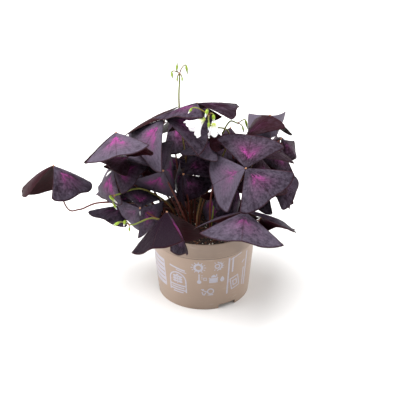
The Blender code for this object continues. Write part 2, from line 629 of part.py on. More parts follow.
def build_soil(feet):
    """Soil down to the pot floor, with a plain blind hole for every stem."""
    bm = bmesh.new()
    half = POT_SIDES // 2
    low = bm.verts.new((0.0, 0.0, (POT_FLOOR_HIGH + SOIL_GAP) * MM))
    side = [ring(bm, POT_FOOT_RADIUS - 0.9 - SOIL_GAP, POT_FLOOR_HIGH + SOIL_GAP),
            ring(bm, POT_BODY_TOP_RADIUS - POT_WALL - SOIL_GAP, POT_COLLAR_BOTTOM - 0.2),
            ring(bm, POT_COLLAR_FOOT_RADIUS - POT_WALL - SOIL_GAP, POT_COLLAR_BOTTOM + 1.8),
            ring(bm, POT_COLLAR_FOOT_RADIUS - POT_WALL - SOIL_GAP + 0.3, SOIL_TOP - 1.0)]
    for a, b in zip(side[:-1], side[1:]):
        join_rings(bm, a, b)
    for k in range(POT_SIDES):
        bm.faces.new((low, side[0][(k + 1) % POT_SIDES], side[0][k]))
    rings = []
    for r in (44.0, 22.0):
        spots = [(r * cos(2 * pi * k / half), r * sin(2 * pi * k / half)) for k in range(half)]
        rings.append([bm.verts.new(Vector((x, y, soil_height(x, y))) * MM) for x, y in spots])
    outer = side[-1]
    for k in range(half):
        n = (k + 1) % half
        a, b, c = outer[2 * k], outer[2 * k + 1], outer[(2 * k + 2) % POT_SIDES]
        bm.faces.new((a, b, rings[0][k]))
        bm.faces.new((b, c, rings[0][n]))
        bm.faces.new((b, rings[0][n], rings[0][k]))
    for a, b in zip(rings[:-1], rings[1:]):
        for k in range(half):
            n = (k + 1) % half
            bm.faces.new((a[k], a[n], b[n]))
            bm.faces.new((a[k], b[n], b[k]))
    peak = bm.verts.new(Vector((0.0, 0.0, soil_height(0.0, 0.0))) * MM)
    for k in range(half):
        bm.faces.new((rings[-1][k], rings[-1][(k + 1) % half], peak))
    bmesh.ops.recalc_face_normals(bm, faces=bm.faces)
    soil = new_object("soil", bm)
    carve(soil, [cylinder_mesh(spot, radius + HOLE_GAP + 0.3, SOIL_TOP - HOLE_DEPTH, SOIL_TOP + 6.0, HOLE_SIDES)
                 for spot, radius in feet])
    return soil


def stalk_line(stalk):
    foot = Vector((stalk["foot"][0], stalk["foot"][1], SOIL_TOP + 2.0))
    knots = [foot] + [Vector(p) for p in stalk["via"]] + [Vector(stalk["top"])]
    reach = (knots[1] - knots[0]).length
    last = (knots[-1] - knots[-2]).length
    line = curve_points(knots, UP * reach, Vector(stalk["arrive"]).normalized() * last, stalk["steps"])
    return [Vector((foot.x, foot.y, SOIL_TOP - HOLE_DEPTH + HOLE_GAP))] + line


def bud_pieces(top, bud):
    """A thin arched stalk from the umbel's top to one bud or calyx, and the egg at its end."""
    base = Vector(bud["base"])
    way = Vector(bud["way"]).normalized()
    line = curve_points([top, base], Vector(bud["leave"]), way * (base - top).length * 0.9, 3)
    line[-1] = base + way * bud["radius"] * 0.6
    long = bud["length"]
    egg = ball_mesh(base + way * long * 0.5, bud["radius"], long * 0.5 / bud["radius"], way, 5, 5)
    return [tube_mesh(line, [PEDICEL_RADIUS] * len(line), 4), egg]


def build_stalk(name, stalk):
    line = stalk_line(stalk)
    count = len(line)
    radii = [STALK_FOOT_RADIUS + (STALK_TIP_RADIUS - STALK_FOOT_RADIUS) * i / (count - 1) for i in range(count)]
    pieces = [tube_mesh(line, radii)]
    top = Vector(stalk["top"])
    if stalk["buds"]:
        pieces.append(ball_mesh(top, STALK_TIP_RADIUS + 0.5))
    for bud in stalk["buds"]:
        pieces.extend(bud_pieces(top, bud))
    return fuse(name, pieces)


def corolla_point(u, w, bloom, lift):
    """A point of an open flower: u along from the calyx, w around, lift outwards."""
    lobes = 0.5 + 0.5 * cos(5.0 * w)
    reach = bloom["long"] * u * (1.0 - 0.16 * (1.0 - lobes) * u ** 3)
    radius = bloom["neck"] + (bloom["mouth"] - bloom["neck"]) * u ** 1.5 + lift
    return Vector((radius * cos(w), radius * sin(w), reach))


def build_bloom(name, bloom):
    """Five joined white petals as one thin funnel, its closed end just clear of the calyx."""
    bm = bmesh.new()
    turn = UP.rotation_difference(Vector(bloom["way"]).normalized())
    base = Vector(bloom["base"])
    around = 20
    skins = []
    for lift, start in ((0.0, 0.0), (-PETAL_THICK, PETAL_THICK / bloom["long"])):
        rings = []
        for i in range(4):
            u = start + (1.0 - start) * i / 3.0
            rings.append([bm.verts.new((base + turn @ corolla_point(u, 2 * pi * k / around, bloom, lift)) * MM)
                          for k in range(around)])
        skins.append(rings)
    for rings in skins:
        for a, b in zip(rings[:-1], rings[1:]):
            for k in range(around):
                n = (k + 1) % around
                bm.faces.new((a[k], a[n], b[n]))
                bm.faces.new((a[k], b[n], b[k]))
        bm.faces.new(rings[0])
    for k in range(around):
        n = (k + 1) % around
        bm.faces.new((skins[0][-1][k], skins[0][-1][n], skins[1][-1][n]))
        bm.faces.new((skins[0][-1][k], skins[1][-1][n], skins[1][-1][k]))
    bmesh.ops.recalc_face_normals(bm, faces=bm.faces)
    return new_object(name, bm)


def finish_material(name, colour, rough):
    mat = bpy.data.materials.new(name)
    mat.use_nodes = True
    shader = mat.node_tree.nodes["Principled BSDF"]
    shader.inputs["Base Color"].default_value = (colour[0], colour[1], colour[2], 1.0)
    shader.inputs["Roughness"].default_value = rough
    mat.diffuse_color = (colour[0], colour[1], colour[2], 1.0)
    return mat


def paint(obj, mat, smooth=False):
    obj.data.materials.clear()
    obj.data.materials.append(mat)
    for face in obj.data.polygons:
        face.use_smooth = smooth


def main():
    for obj in list(bpy.data.objects):
        bpy.data.objects.remove(obj)
    pot = build_pot()
    paint(pot, finish_material("taupe_plastic", (0.38, 0.29, 0.23), 0.55))
    feet = [(leaf["foot"], PETIOLE_FOOT_RADIUS) for leaf in LEAVES.values()]
    feet += [(stalk["foot"], STALK_FOOT_RADIUS) for stalk in STALKS.values()]
    soil = build_soil(feet)
    paint(soil, finish_material("peat_soil", (0.035, 0.022, 0.014), 0.95))
    purple = (0.045, 0.022, 0.038)
    for name, leaf in LEAVES.items():
        obj = fuse(name, leaf_pieces(leaf))
        paint(obj, finish_material(name + "_blade", purple, 0.45))
    for name, stalk in STALKS.items():
        obj = build_stalk(name, stalk)
        paint(obj, finish_material(name + "_green", (0.30, 0.42, 0.08), 0.5))
    for name, bloom in BLOOMS.items():
        obj = build_bloom(name, bloom)
        paint(obj, finish_material(name + "_white", (0.86, 0.84, 0.86), 0.5))


main()
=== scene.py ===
# Potted purple shamrock: fine leaves, flower stalks, flowers, peat and a printed nursery pot,
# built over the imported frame. Metres, +Z up; sizes below are in millimetres and used through MM.
import bpy
import bmesh
import random
from math import sin, cos, pi, radians, degrees, sqrt, tau
from mathutils import Vector, Matrix, noise
from bpy.props import FloatProperty, FloatVectorProperty, IntProperty, PointerProperty


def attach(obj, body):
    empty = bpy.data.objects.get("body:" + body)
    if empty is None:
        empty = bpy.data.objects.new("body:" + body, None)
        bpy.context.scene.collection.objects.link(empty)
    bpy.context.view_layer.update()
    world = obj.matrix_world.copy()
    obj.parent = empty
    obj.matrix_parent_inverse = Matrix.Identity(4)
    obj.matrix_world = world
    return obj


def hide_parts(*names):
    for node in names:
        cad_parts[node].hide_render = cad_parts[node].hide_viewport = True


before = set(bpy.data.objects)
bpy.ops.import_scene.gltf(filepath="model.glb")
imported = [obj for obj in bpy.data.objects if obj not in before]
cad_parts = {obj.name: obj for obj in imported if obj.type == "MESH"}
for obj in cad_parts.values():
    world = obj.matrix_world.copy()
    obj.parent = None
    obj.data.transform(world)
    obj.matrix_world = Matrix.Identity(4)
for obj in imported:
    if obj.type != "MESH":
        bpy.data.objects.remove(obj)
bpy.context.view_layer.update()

bl_info = {
    "name": "Potted purple shamrock",
    "version": (1, 0, 0),
    "blender": (4, 5, 0),
    "location": "3D view > Sidebar > Shamrock",
    "description": "Builds a potted purple shamrock over its CAD frame",
    "category": "Add Mesh",
}

MM = 0.001
UP = Vector((0.0, 0.0, 1.0))
SEED = 27

# Pot, as in the CAD model: radii and heights in mm.
POT_HEIGHT = 90.0
POT_LIP_RADIUS = 60.0
POT_COLLAR_FOOT_RADIUS = 59.4
POT_BODY_TOP_RADIUS = 57.9
POT_FOOT_RADIUS = 51.5
POT_COLLAR_BOTTOM = 71.0
POT_WALL = 1.5
POT_FLOOR_LOW = 4.5
POT_FLOOR_HIGH = 6.3
POT_PAD_RADIUS = 15.0
POT_NOTCH_WIDE = 24.0
POT_NOTCH_AT = (-59.0, 61.0, 181.0)
POT_DRAIN_RADIUS = 4.0
POT_DRAIN_AT = (1.0, 61.0, 121.0, 181.0, 241.0, 301.0)
POT_DRAIN_CIRCLE = 33.0
POT_STEPS = 144

# Soil.
SOIL_TOP = 82.0
SOIL_GAP = 0.4
SOIL_LUMP = 1.2
HOLE_DEPTH = 8.0
HOLE_GAP = 0.35

# Leaf parts.
PETIOLE_FOOT_RADIUS = 1.35
PETIOLE_TIP_RADIUS = 0.8
KNOB_RADIUS = 1.15
ROOT_STEP = 0.3
ACROSS = 30
ALONG = 22
BLADE_START = 0.03
BLADE_SWELL = 1.1

# Half outline of a leaflet: how far the edge stands from the junction, from midrib to side.
EDGE_AT = (0.0, 0.15, 0.3, 0.5, 0.7, 0.85, 0.95, 1.0)
EDGE_REACH = (0.85, 0.865, 0.895, 0.945, 0.985, 1.0, 0.995, 0.96)
POINTED_REACH = (0.84, 0.85, 0.875, 0.92, 0.96, 0.985, 1.0, 1.005)
POINTED = ("leaf_front_low", "leaf_right_low", "leaf_top", "leaf_right_bottom", "leaf_left_upper", "leaf_top_left")

# Each leaf, as in the CAD model: where its three leaflets join (x, y, z mm), how far the leaf
# leans (degrees) and towards which side, the way its first leaflet points, how far the leaflets
# hang, leaflet length, half spread, fold along the midrib, curl towards the tip, small changes of
# hang and of direction for the three leaflets, and where the stem stands in the soil.
LEAVES = {
    "leaf_far_left": {
        "at": (-164.9, -4.6, 158.5), "lean": (15, 105), "heading": 335, "hang": 30, "size": 52, "spread": 47,
        "fold": 10, "curl": 25, "dip": (1, 10, -8), "swing": (-6, 10, -35),
        "foot": (-42.2, -7.6), "pull": (0.9, 1.2), "via": ((-62, -7, 108), (-84, -10, 115), (-117, -16, 118), (-138, -15, 109), (-153, -10, 110),),
    },
    "leaf_left_upper": {
        "at": (-93.5, -27.2, 210.6), "lean": (25, 130), "heading": 265, "hang": 20, "size": 49, "spread": 46,
        "fold": 5, "curl": 20, "dip": (2, 25, 4), "swing": (3, 10, 15),
        "foot": (-26, -4), "pull": (1.18, 1.22), "via": ((-53, 20, 135), (-86, 14, 162),),
    },
    "leaf_left_middle": {
        "at": (-99.2, -5.7, 154.2), "lean": (25, 195), "heading": 210, "hang": 20, "size": 42, "spread": 45,
        "fold": 5, "curl": 30, "dip": (15, -20, 24), "swing": (4, -5, 7),
        "foot": (-38.7, -4.2), "pull": (0.34, 0.59), "via": ((-79, 7, 131),),
    },
    "leaf_front_centre": {
        "at": (-44, -26.4, 164), "lean": (60, 285), "heading": 260, "hang": 35, "size": 46, "spread": 40,
        "fold": 5, "curl": 25, "dip": (10, 15, -3), "swing": (1, -5, -20),
        "foot": (-17.7, -15.9), "pull": (0.47, 0.3),
    },
    "leaf_left_lower": {
        "at": (-69.1, -44.2, 127.6), "lean": (60, 285), "heading": 95, "hang": 35, "size": 44, "spread": 38,
        "fold": 15, "curl": 25, "dip": (8, 19, -4), "swing": (-9, 10, -3),
        "foot": (-27.4, -30.8), "pull": (0.38, 0.3),
    },
    "leaf_front_low": {
        "at": (-39, -81.1, 144.1), "lean": (35, 110), "heading": 230, "hang": 45, "size": 58, "spread": 42,
        "fold": 10, "curl": 25, "dip": (-8, 21, -15), "swing": (1, 0, -15),
        "foot": (-19.9, -36.9), "pull": (0.65, 0.26),
    },
    "leaf_centre_low": {
        "at": (-22.2, -13.7, 152.9), "lean": (45, 250), "heading": 290, "hang": 40, "size": 47, "spread": 41,
        "fold": 20, "curl": 30, "dip": (10, -27, 8), "swing": (1, -15, 10),
        "foot": (-14.7, -2.7), "pull": (0.33, 0.28),
    },
    "leaf_right_front": {
        "at": (44.4, -53.9, 181.4), "lean": (35, 265), "heading": 315, "hang": 10, "size": 52, "spread": 47,
        "fold": 5, "curl": 20, "dip": (-17, -10, 14), "swing": (-7, 5, -4),
        "foot": (7.1, -20.1), "pull": (1.01, 0.31), "via": ((12, -35, 153),),
    },
    "leaf_right_low": {
        "at": (43.8, -76.4, 141.4), "lean": (20, 65), "heading": 260, "hang": 25, "size": 59, "spread": 50,
        "fold": 10, "curl": 20, "dip": (-6, -23, -6), "swing": (6, 17, -2),
        "foot": (13.8, -36.4), "pull": (0.79, 0.25),
    },
    "leaf_top_left": {
        "at": (-42.5, -9.5, 218.2), "lean": (17, 242), "heading": 223, "hang": 25, "size": 60, "spread": 41,
        "fold": 5, "curl": 30, "dip": (8, -17, -2), "swing": (-15, 7, 21),
        "foot": (-18.9, 4.4), "pull": (0.9, 0.69), "via": ((-54, 26, 172),),
    },
    "leaf_top": {
        "at": (-7.4, 13.3, 226), "lean": (15, 135), "heading": 355, "hang": 20, "size": 52, "spread": 38,
        "fold": 5, "curl": 15, "dip": (-8, 18, -24), "swing": (-1, -8, 5),
        "foot": (-9.9, 2.3), "pull": (0.63, 0.62), "via": ((-10, 37, 187),),
    },
    "leaf_pale": {
        "at": (74.2, 44.7, 196), "lean": (40, 265), "heading": 305, "hang": 45, "size": 46, "spread": 41,
        "fold": 25, "curl": 30, "dip": (17, 23, -8), "swing": (7, 13, 24),
        "foot": (24.5, 15.2), "pull": (0.25, 0.57), "via": ((39, 27, 156),),
    },
    "leaf_centre_upper": {
        "at": (12, 2.5, 186.8), "lean": (20, 65), "heading": 235, "hang": 20, "size": 42, "spread": 38,
        "fold": 10, "curl": 25, "dip": (-5, -9, -17), "swing": (0, 15, 5),
        "foot": (28.6, -6.6), "pull": (1.03, 0.94), "via": ((33, 25, 155),),
    },
    "leaf_left_bottom": {
        "at": (-89.9, 12.5, 99.2), "lean": (15, 55), "heading": 235, "hang": 15, "size": 42, "spread": 42,
        "fold": 5, "curl": 20, "dip": (-5, -25, -25), "swing": (0, 7, -15),
        "foot": (-21.7, 16.7), "pull": (0.64, 0.39),
    },
    "leaf_right_inner": {
        "at": (61.8, -2.6, 167.7), "lean": (15, 20), "heading": 290, "hang": 25, "size": 50, "spread": 43,
        "fold": 15, "curl": 20, "dip": (4, -35, -4), "swing": (2, 18, 15),
        "foot": (37.9, 4.5), "pull": (0.34, 0.87),
    },
    "leaf_right_outer": {
        "at": (70.6, -2.5, 141.7), "lean": (15, 250), "heading": 340, "hang": 20, "size": 42, "spread": 45,
        "fold": 15, "curl": 25, "dip": (-6, 8, 23), "swing": (1, -15, -12),
        "foot": (32.8, 9), "pull": (0.28, 1.28),
    },
    "leaf_right_bottom": {
        "at": (63.1, -26.1, 104.2), "lean": (10, 90), "heading": 295, "hang": 5, "size": 42, "spread": 40,
        "fold": 20, "curl": 15, "dip": (-15, 8, -2), "swing": (0, -6, -15),
        "foot": (27.5, -15), "pull": (0.36, 0.33),
    },
    "leaf_inner_low": {
        "at": (13.5, 5.6, 124.6), "lean": (20, 190), "heading": 210, "hang": 35, "size": 45, "spread": 42,
        "fold": 20, "curl": 25, "dip": (5, 29, -25), "swing": (0, -12, 11),
        "foot": (11.3, -3.5), "pull": (0.41, 0.76),
    },
    "leaf_inner_right": {
        "at": (35, -23, 146), "lean": (30, 345), "heading": 325, "hang": 35, "size": 44, "spread": 44,
        "fold": 25, "curl": 35, "dip": (5, 22, 25), "swing": (0, 15, 2),
        "foot": (24.9, -10.1), "pull": (0.55, 0.36),
    },
    "leaf_left_under": {
        "at": (-78, 7, 162.9), "lean": (15, 40), "heading": 230, "hang": 10, "size": 43, "spread": 44,
        "fold": 10, "curl": 20, "dip": (-10, -5, 25), "swing": (-10, 15, -15),
        "foot": (-42, 1.8), "pull": (0.98, 0.27),
    },
    "leaf_right_upper": {
        "at": (45.3, 4.1, 188), "lean": (15, 170), "heading": 290, "hang": 5, "size": 46, "spread": 40,
        "fold": 15, "curl": 15, "dip": (-9, -25, -30), "swing": (4, -15, 17),
        "foot": (18.1, 26.3), "pull": (0.93, 0.56), "via": ((53, 17, 141),),
    },
    "leaf_right_edge": {
        "at": (88.5, 68.1, 154.8), "lean": (45, 270), "heading": 320, "hang": 35, "size": 42, "spread": 38,
        "fold": 45, "curl": 25, "dip": (1, 25, 18), "swing": (1, 3, -9),
        "foot": (33, 26.6), "pull": (0.25, 0.66), "via": ((50, 37, 137),),
    },
    "leaf_back_1": {
        "at": (30.3, 61.6, 172.1), "lean": (30, 70), "heading": 20, "hang": 25, "size": 50, "spread": 44,
        "fold": 10, "curl": 22, "dip": (25, 26, 28), "swing": (3, -15, 13),
        "foot": (9.8, 33), "pull": (0.41, 0.96), "via": ((20, 51, 111),),
    },
    "leaf_back_2": {
        "at": (-39.2, 72, 174.9), "lean": (30, 120), "heading": 70, "hang": 25, "size": 50, "spread": 44,
        "fold": 10, "curl": 22, "dip": (-26, -25, 24), "swing": (4, 5, 8),
        "foot": (-26.6, 29.6), "pull": (0.32, 1.26),
    },
    "leaf_back_3": {
        "at": (87.3, 62.8, 148.1), "lean": (38, 37), "heading": 50, "hang": 25, "size": 48, "spread": 44,
        "fold": 10, "curl": 22, "dip": (32, 22, 3), "swing": (28, 10, -28),
        "foot": (22.4, 31.2), "pull": (0.58, 1.14),
    },
    "leaf_back_4": {
        "at": (-88, 55, 150), "lean": (35, 150), "heading": 150, "hang": 25, "size": 48, "spread": 44,
        "fold": 10, "curl": 22, "dip": (-13, 28, -3), "swing": (15, 15, 10),
        "foot": (-29.7, 25.7), "pull": (0.26, 0.46),
    },
    "leaf_back_5": {
        "at": (-2.2, 101.3, 140), "lean": (45, 90), "heading": 90, "hang": 25, "size": 50, "spread": 44,
        "fold": 10, "curl": 22, "dip": (-16, -20, 25), "swing": (-10, -11, -3),
        "foot": (4.3, 42.2), "pull": (0.27, 1.21),
    },
    "leaf_back_6": {
        "at": (55.6, 91, 113.2), "lean": (47, 58), "heading": 5, "hang": 25, "size": 46, "spread": 44,
        "fold": 10, "curl": 22, "dip": (25, 25, 4), "swing": (-6, 12, 12),
        "foot": (28.1, 26.3), "pull": (0.25, 0.73),
    },
    "leaf_back_7": {
        "at": (-49.6, 88.6, 122.2), "lean": (45, 120), "heading": 45, "hang": 25, "size": 46, "spread": 44,
        "fold": 10, "curl": 22, "dip": (24, -27, 10), "swing": (13, 13, -1),
        "foot": (-18.2, 27.7), "pull": (0.49, 0.26), "via": ((-40, 68, 110),),
    },
    "leaf_back_8": {
        "at": (-93.1, 48.7, 121.7), "lean": (35, 165), "heading": 101, "hang": 25, "size": 46, "spread": 44,
        "fold": 10, "curl": 22, "dip": (7, -29, 25), "swing": (12, -15, -3),
        "foot": (-36.3, 21.5), "pull": (0.54, 0.83),
    },
    "leaf_back_9": {
        "at": (98, 37.5, 125), "lean": (40, 33), "heading": 82, "hang": 25, "size": 46, "spread": 44,
        "fold": 10, "curl": 22, "dip": (15, 27, 24), "swing": (16, -15, 15),
        "foot": (37.6, 11.1), "pull": (0.7, 0.6),
    },
}

# How each leaf looks: paleness of its bloom (0 to 1), partly the leaflet's own tone and partly painted light and shade,
# raised for lit leaflets and lowered for shaded ones; strength of the magenta patch and how brown it is, given for all
# three leaflets or for each.
TONES = {
    "leaf_far_left": ((0.35, 0.8, 0.0), (-0.7, 0.0, 0.8), (-0.2, 0.1, 0.9)),
    "leaf_left_upper": ((0.8, 1.0, 0.1), (0.4, 0.9, 0.4), (0.5, 0.9, 0.3)),
    "leaf_left_middle": ((0.6, 1.2, 0.1), (0.5, 1.2, 0.3), (0.3, 0.9, 0.4)),
    "leaf_front_centre": ((1.3, 1.2, 0.1), (1.2, 1.2, 0.2), (0.7, 0.6, 0.2)),
    "leaf_left_lower": ((0.4, 0.8, 0.0), (0.6, 0.4, 0.0), (0.6, 0.8, 0.0)),
    "leaf_front_low": ((-0.8, 0.0, 0.1), (0.3, 0.9, 0.0), (-0.3, 0.0, 0.9)),
    "leaf_centre_low": ((0.25, 0.5, 0.1),),
    "leaf_right_front": ((0.4, 0.7, 0.0), (0.35, 0.8, 0.2), (0.9, 0.6, 0.0)),
    "leaf_right_low": ((0.6, 0.6, 0.0), (0.1, 0.2, 0.0), (0.2, 0.2, 0.0)),
    "leaf_top_left": ((0.85, 1.0, 0.0), (0.4, 0.6, 0.1), (-0.3, 0.0, 1.0)),
    "leaf_top": ((0.1, 0.2, 0.3), (0.1, 0.2, 0.4), (0.4, 0.8, 0.1)),
    "leaf_pale": ((1.8, 0.0, 0.0), (1.7, 0.0, 0.0), (1.5, 0.0, 0.0)),
    "leaf_centre_upper": ((0.8, 0.5, 0.1),),
    "leaf_left_bottom": ((0.4, 0.6, 0.0),),
    "leaf_right_inner": ((0.1, 0.2, 0.5),),
    "leaf_right_outer": ((0.3, 0.4, 0.1),),
    "leaf_right_bottom": ((-0.2, 0.1, 0.9),),
    "leaf_inner_low": ((0.8, 1.3, 0.1),),
    "leaf_inner_right": ((0.3, 0.5, 0.0),),
    "leaf_left_under": ((0.1, 0.4, 0.6),),
    "leaf_right_upper": ((0.1, 0.2, 0.8),),
    "leaf_right_edge": ((0.2, 0.3, 0.3),),
}

# Flower stalks.
STALK_FOOT_RADIUS = 1.2
STALK_TIP_RADIUS = 0.85
PEDICEL_RADIUS = 0.6
PETAL_THICK = 0.6

# Each stalk: its foot, a point it passes, its top, the way it arrives there and its buds. Each
# bud: where it starts, the way it points, the way its thin stalk leaves the top, length, radius.
STALKS = {
    # Tall stalk with its ring of nodding buds, standing well above the leaves.
    "stalk_tall": {
        "foot": (-13.2, 10.8), "via": ((-26, 10, 212),), "top": (-26.0, 17.0, 259.0),
        "arrive": (0.0, 0.0, 1.0), "steps": 5,
        "buds": (
            {"base": (-29.0, 16.5, 264.0), "way": (0.05, 0.0, 1.0), "leave": (-3.0, 0.0, 2.0), "length": 11.0, "radius": 1.9},
            {"base": (-34.5, 15.0, 261.5), "way": (0.1, 0.0, -1.0), "leave": (-9.0, -2.0, 12.0), "length": 9.5, "radius": 1.8},
            {"base": (-19.0, 19.0, 267.5), "way": (0.16, 0.05, -1.0), "leave": (4.0, 2.0, 22.0), "length": 12.0, "radius": 2.0},
            {"base": (-28.6, 14.0, 255.5), "way": (0.0, -0.1, -1.0), "leave": (-3.0, -5.0, 3.0), "length": 6.0, "radius": 1.4},
            {"base": (-23.4, 14.6, 255.5), "way": (0.0, -0.1, -1.0), "leave": (3.0, -4.0, 3.0), "length": 6.0, "radius": 1.4},
        ),
    },
    # Stalk in bloom over the middle leaves: two open flowers and two buds on arched stems.
    "stalk_bloom": {
        "foot": (-5, -3.6), "via": ((28, 28, 177),), "top": (5.0, -34.0, 233.8),
        "arrive": (0.1, -0.2, 1.0), "steps": 5,
        "buds": (
            {"base": (3.5, -39.0, 242.8), "way": (-0.25, -0.1, -1.0), "leave": (-2.0, -4.0, 14.0), "length": 9.0, "radius": 2.3},
            {"base": (10.0, -37.0, 235.8), "way": (0.05, -0.1, -1.0), "leave": (5.0, -2.0, 14.0), "length": 9.0, "radius": 2.3},
            {"base": (5.0, -42.0, 229.3), "way": (0.0, -0.05, -1.0), "leave": (0.0, -8.0, 10.0), "length": 9.0, "radius": 1.8},
            {"base": (-13.0, -30.0, 239.8), "way": (-0.5, 0.0, -0.8), "leave": (-9.0, 2.0, 12.0), "length": 7.0, "radius": 1.8},
        ),
    },
    # Stalk leaning out to the right over the pale leaf.
    "stalk_right": {
        "foot": (-8.1, -17.9), "via": ((-1, 3, 121), (24, 24, 191),), "top": (38.0, 23.0, 197.0),
        "arrive": (1.0, 0.0, 0.05), "steps": 6,
        "buds": (
            {"base": (46.0, 24.0, 200.0), "way": (0.25, 0.0, -1.0), "leave": (7.0, 0.0, 7.0), "length": 13.0, "radius": 1.8},
            {"base": (43.0, 21.0, 193.0), "way": (0.2, -0.2, -1.0), "leave": (5.0, -2.0, 0.0), "length": 7.0, "radius": 1.5},
        ),
    },
    # Low stalk hanging out at the lower left with a few buds.
    "stalk_low": {
        "foot": (-19.9, -32.1), "via": ((-53, -45, 115),), "top": (-81.0, -50.0, 110.0),
        "arrive": (-1.0, -0.2, 0.3), "steps": 5,
        "buds": (
            {"base": (-92.0, -50.0, 113.0), "way": (-1.0, 0.0, -0.75), "leave": (-8.0, 0.0, 5.0), "length": 11.0, "radius": 2.2},
            {"base": (-85.5, -50.0, 115.0), "way": (-0.2, 0.0, -1.0), "leave": (-3.0, 0.0, 6.0), "length": 7.5, "radius": 2.1},
            {"base": (-81.0, -52.0, 107.0), "way": (0.1, -0.1, -1.0), "leave": (0.0, -3.0, -2.0), "length": 6.0, "radius": 1.7},
        ),
    },
    # Pair of buds showing at the far left between two leaves.
    "stalk_left": {
        "foot": (-31, 2.6), "via": ((-64, -19, 136),), "top": (-97.0, -35.0, 138.0),
        "arrive": (-1.0, -0.4, -0.1), "steps": 5,
        "buds": (
            {"base": (-102.0, -37.0, 138.0), "way": (0.7, 0.0, -0.75), "leave": (-6.0, -1.0, 2.0), "length": 12.0, "radius": 2.0},
            {"base": (-98.0, -38.0, 129.0), "way": (0.4, 0.0, -0.8), "leave": (-2.0, -3.0, -4.0), "length": 8.0, "radius": 1.8},
        ),
    },
    # A cut stem left standing in the middle.
    "stalk_stub": {
        "foot": (4.3, -15.8), "via": ((8, -15, 86),), "top": (11.0, -10.0, 113.0),
        "arrive": (0.0, 0.1, 1.0), "steps": 3, "buds": (),
    },
}
BLOOMS = {
    "bloom_left": {"base": (0.6, -34.3, 231.3), "way": (-0.80, -0.35, -0.62), "neck": 1.6, "mouth": 11.0, "long": 20.0},
    "bloom_right": {"base": (10.3, -32.4, 224.4), "way": (0.12, -0.25, -0.95), "neck": 1.6, "mouth": 7.0, "long": 14.0},
}


def srgb(code):
    """A colour in linear light from its sRGB hex code."""
    parts = [int(code[i:i + 2], 16) / 255.0 for i in (1, 3, 5)]
    return tuple(p / 12.92 if p <= 0.04045 else ((p + 0.055) / 1.055) ** 2.4 for p in parts)


def tint(name, code, words):
    """A colour property shown in the panel."""
    return FloatVectorProperty(name=name, description=words, default=srgb(code), size=3,
                               subtype="COLOR", min=0.0, max=1.0)


class ShamrockPotSettings(bpy.types.PropertyGroup):
    plastic: tint("Plastic", "#998474", "Colour of the moulded pot")
    ink: tint("Ink", "#adaab5", "Colour of the care signs printed on the pot")
    # This colour is painted shade: it darkens the collar and a line under the collar step, where the collar and the
    # leaves overhead cast shade.
    painted_shade: tint("Soil stain", "#46362c", "Dust and soil rubbed into the plastic")
    ink_lift: FloatProperty(name="Ink height", description="How far the print stands above the plastic",
                            default=0.06 * MM, unit="LENGTH", min=0.0)


class ShamrockSoilSettings(bpy.types.PropertyGroup):
    peat: tint("Peat", "#2e1d14", "Colour of the damp peat")
    bark: tint("Bark", "#6b4028", "Colour of the bark crumbs")
    perlite: tint("Perlite", "#e9e2d2", "Colour of the white perlite grains")
    crumbs: IntProperty(name="Crumbs", description="How many crumbs lie on the soil", default=620, min=0)


class ShamrockLeafSettings(bpy.types.PropertyGroup):
    top: tint("Upper side", "#180d19", "Main colour of a leaflet from above")
    # The bloom colour is partly the leaves' own powdery bloom and partly painted sheen, standing in for soft
    # highlights.
    bloom: tint("Bloom", "#5b5261", "Greyish bloom of the paler leaflets")
    patch: tint("Patch", "#963c80", "Magenta patch beside the midrib")
    under: tint("Underside", "#2a0b10", "Wine-red underside of a leaflet")
    edge: tint("Edge", "#300f16", "Thin rim of a leaflet")
    petiole: tint("Leaf stem", "#6b3229", "Red-brown leaf stem")
    knob: tint("Junction", "#a8785a", "Small swelling where the leaflets join")
    thick: FloatProperty(name="Blade thickness", description="Thickness of a leaflet",
                         default=0.45 * MM, unit="LENGTH", min=0.1 * MM)
    ripple: FloatProperty(name="Ripple", description="Height of the waves along a leaflet's edge",
                          default=0.9 * MM, unit="LENGTH", min=0.0)


class ShamrockFlowerSettings(bpy.types.PropertyGroup):
    green: tint("Stalk", "#7c8c38", "Colour of the flower stalks")
    sepal: tint("Sepal", "#93ad35", "Lime green of sepals and buds")
    blush: tint("Blush", "#d8a0b4", "Pink tip of a closed bud")
    petal: tint("Petal", "#fbf8fc", "White of the open petals")
    throat: tint("Throat", "#c9d86a", "Yellow-green inside an open flower")


class ShamrockStageSettings(bpy.types.PropertyGroup):
    floor: tint("Floor", "#f4f3f2", "Colour of the plain floor")
    key: FloatProperty(name="Top light", description="Power of the large light overhead", default=46.0, min=0.0)
    side: FloatProperty(name="Side lights", description="Power of the light at the left", default=42.0, min=0.0)
    sky: FloatProperty(name="Surroundings", description="Brightness of the plain white surroundings", default=0.30, min=0.0)


class ShamrockSettings(bpy.types.PropertyGroup):
    pot: PointerProperty(type=ShamrockPotSettings)
    soil: PointerProperty(type=ShamrockSoilSettings)
    leaf: PointerProperty(type=ShamrockLeafSettings)
    flower: PointerProperty(type=ShamrockFlowerSettings)
    stage: PointerProperty(type=ShamrockStageSettings)


# ---------------------------------------------------------------- materials

def add(mat, kind, inputs=None, **settings):
    """Adds one node with its settings; inputs maps a socket to a value or to the output it takes."""
    node = mat.node_tree.nodes.new(kind)
    for key, value in settings.items():
        setattr(node, key, value)
    for socket, value in (inputs or {}).items():
        if isinstance(value, bpy.types.NodeSocket):
            mat.node_tree.links.new(value, node.inputs[socket])
        else:
            node.inputs[socket].default_value = value
    return node


def new_material(name):
    """An empty node material and its output node."""
    mat = bpy.data.materials.new(name)
    mat.use_nodes = True
    mat.node_tree.nodes.clear()
    return mat


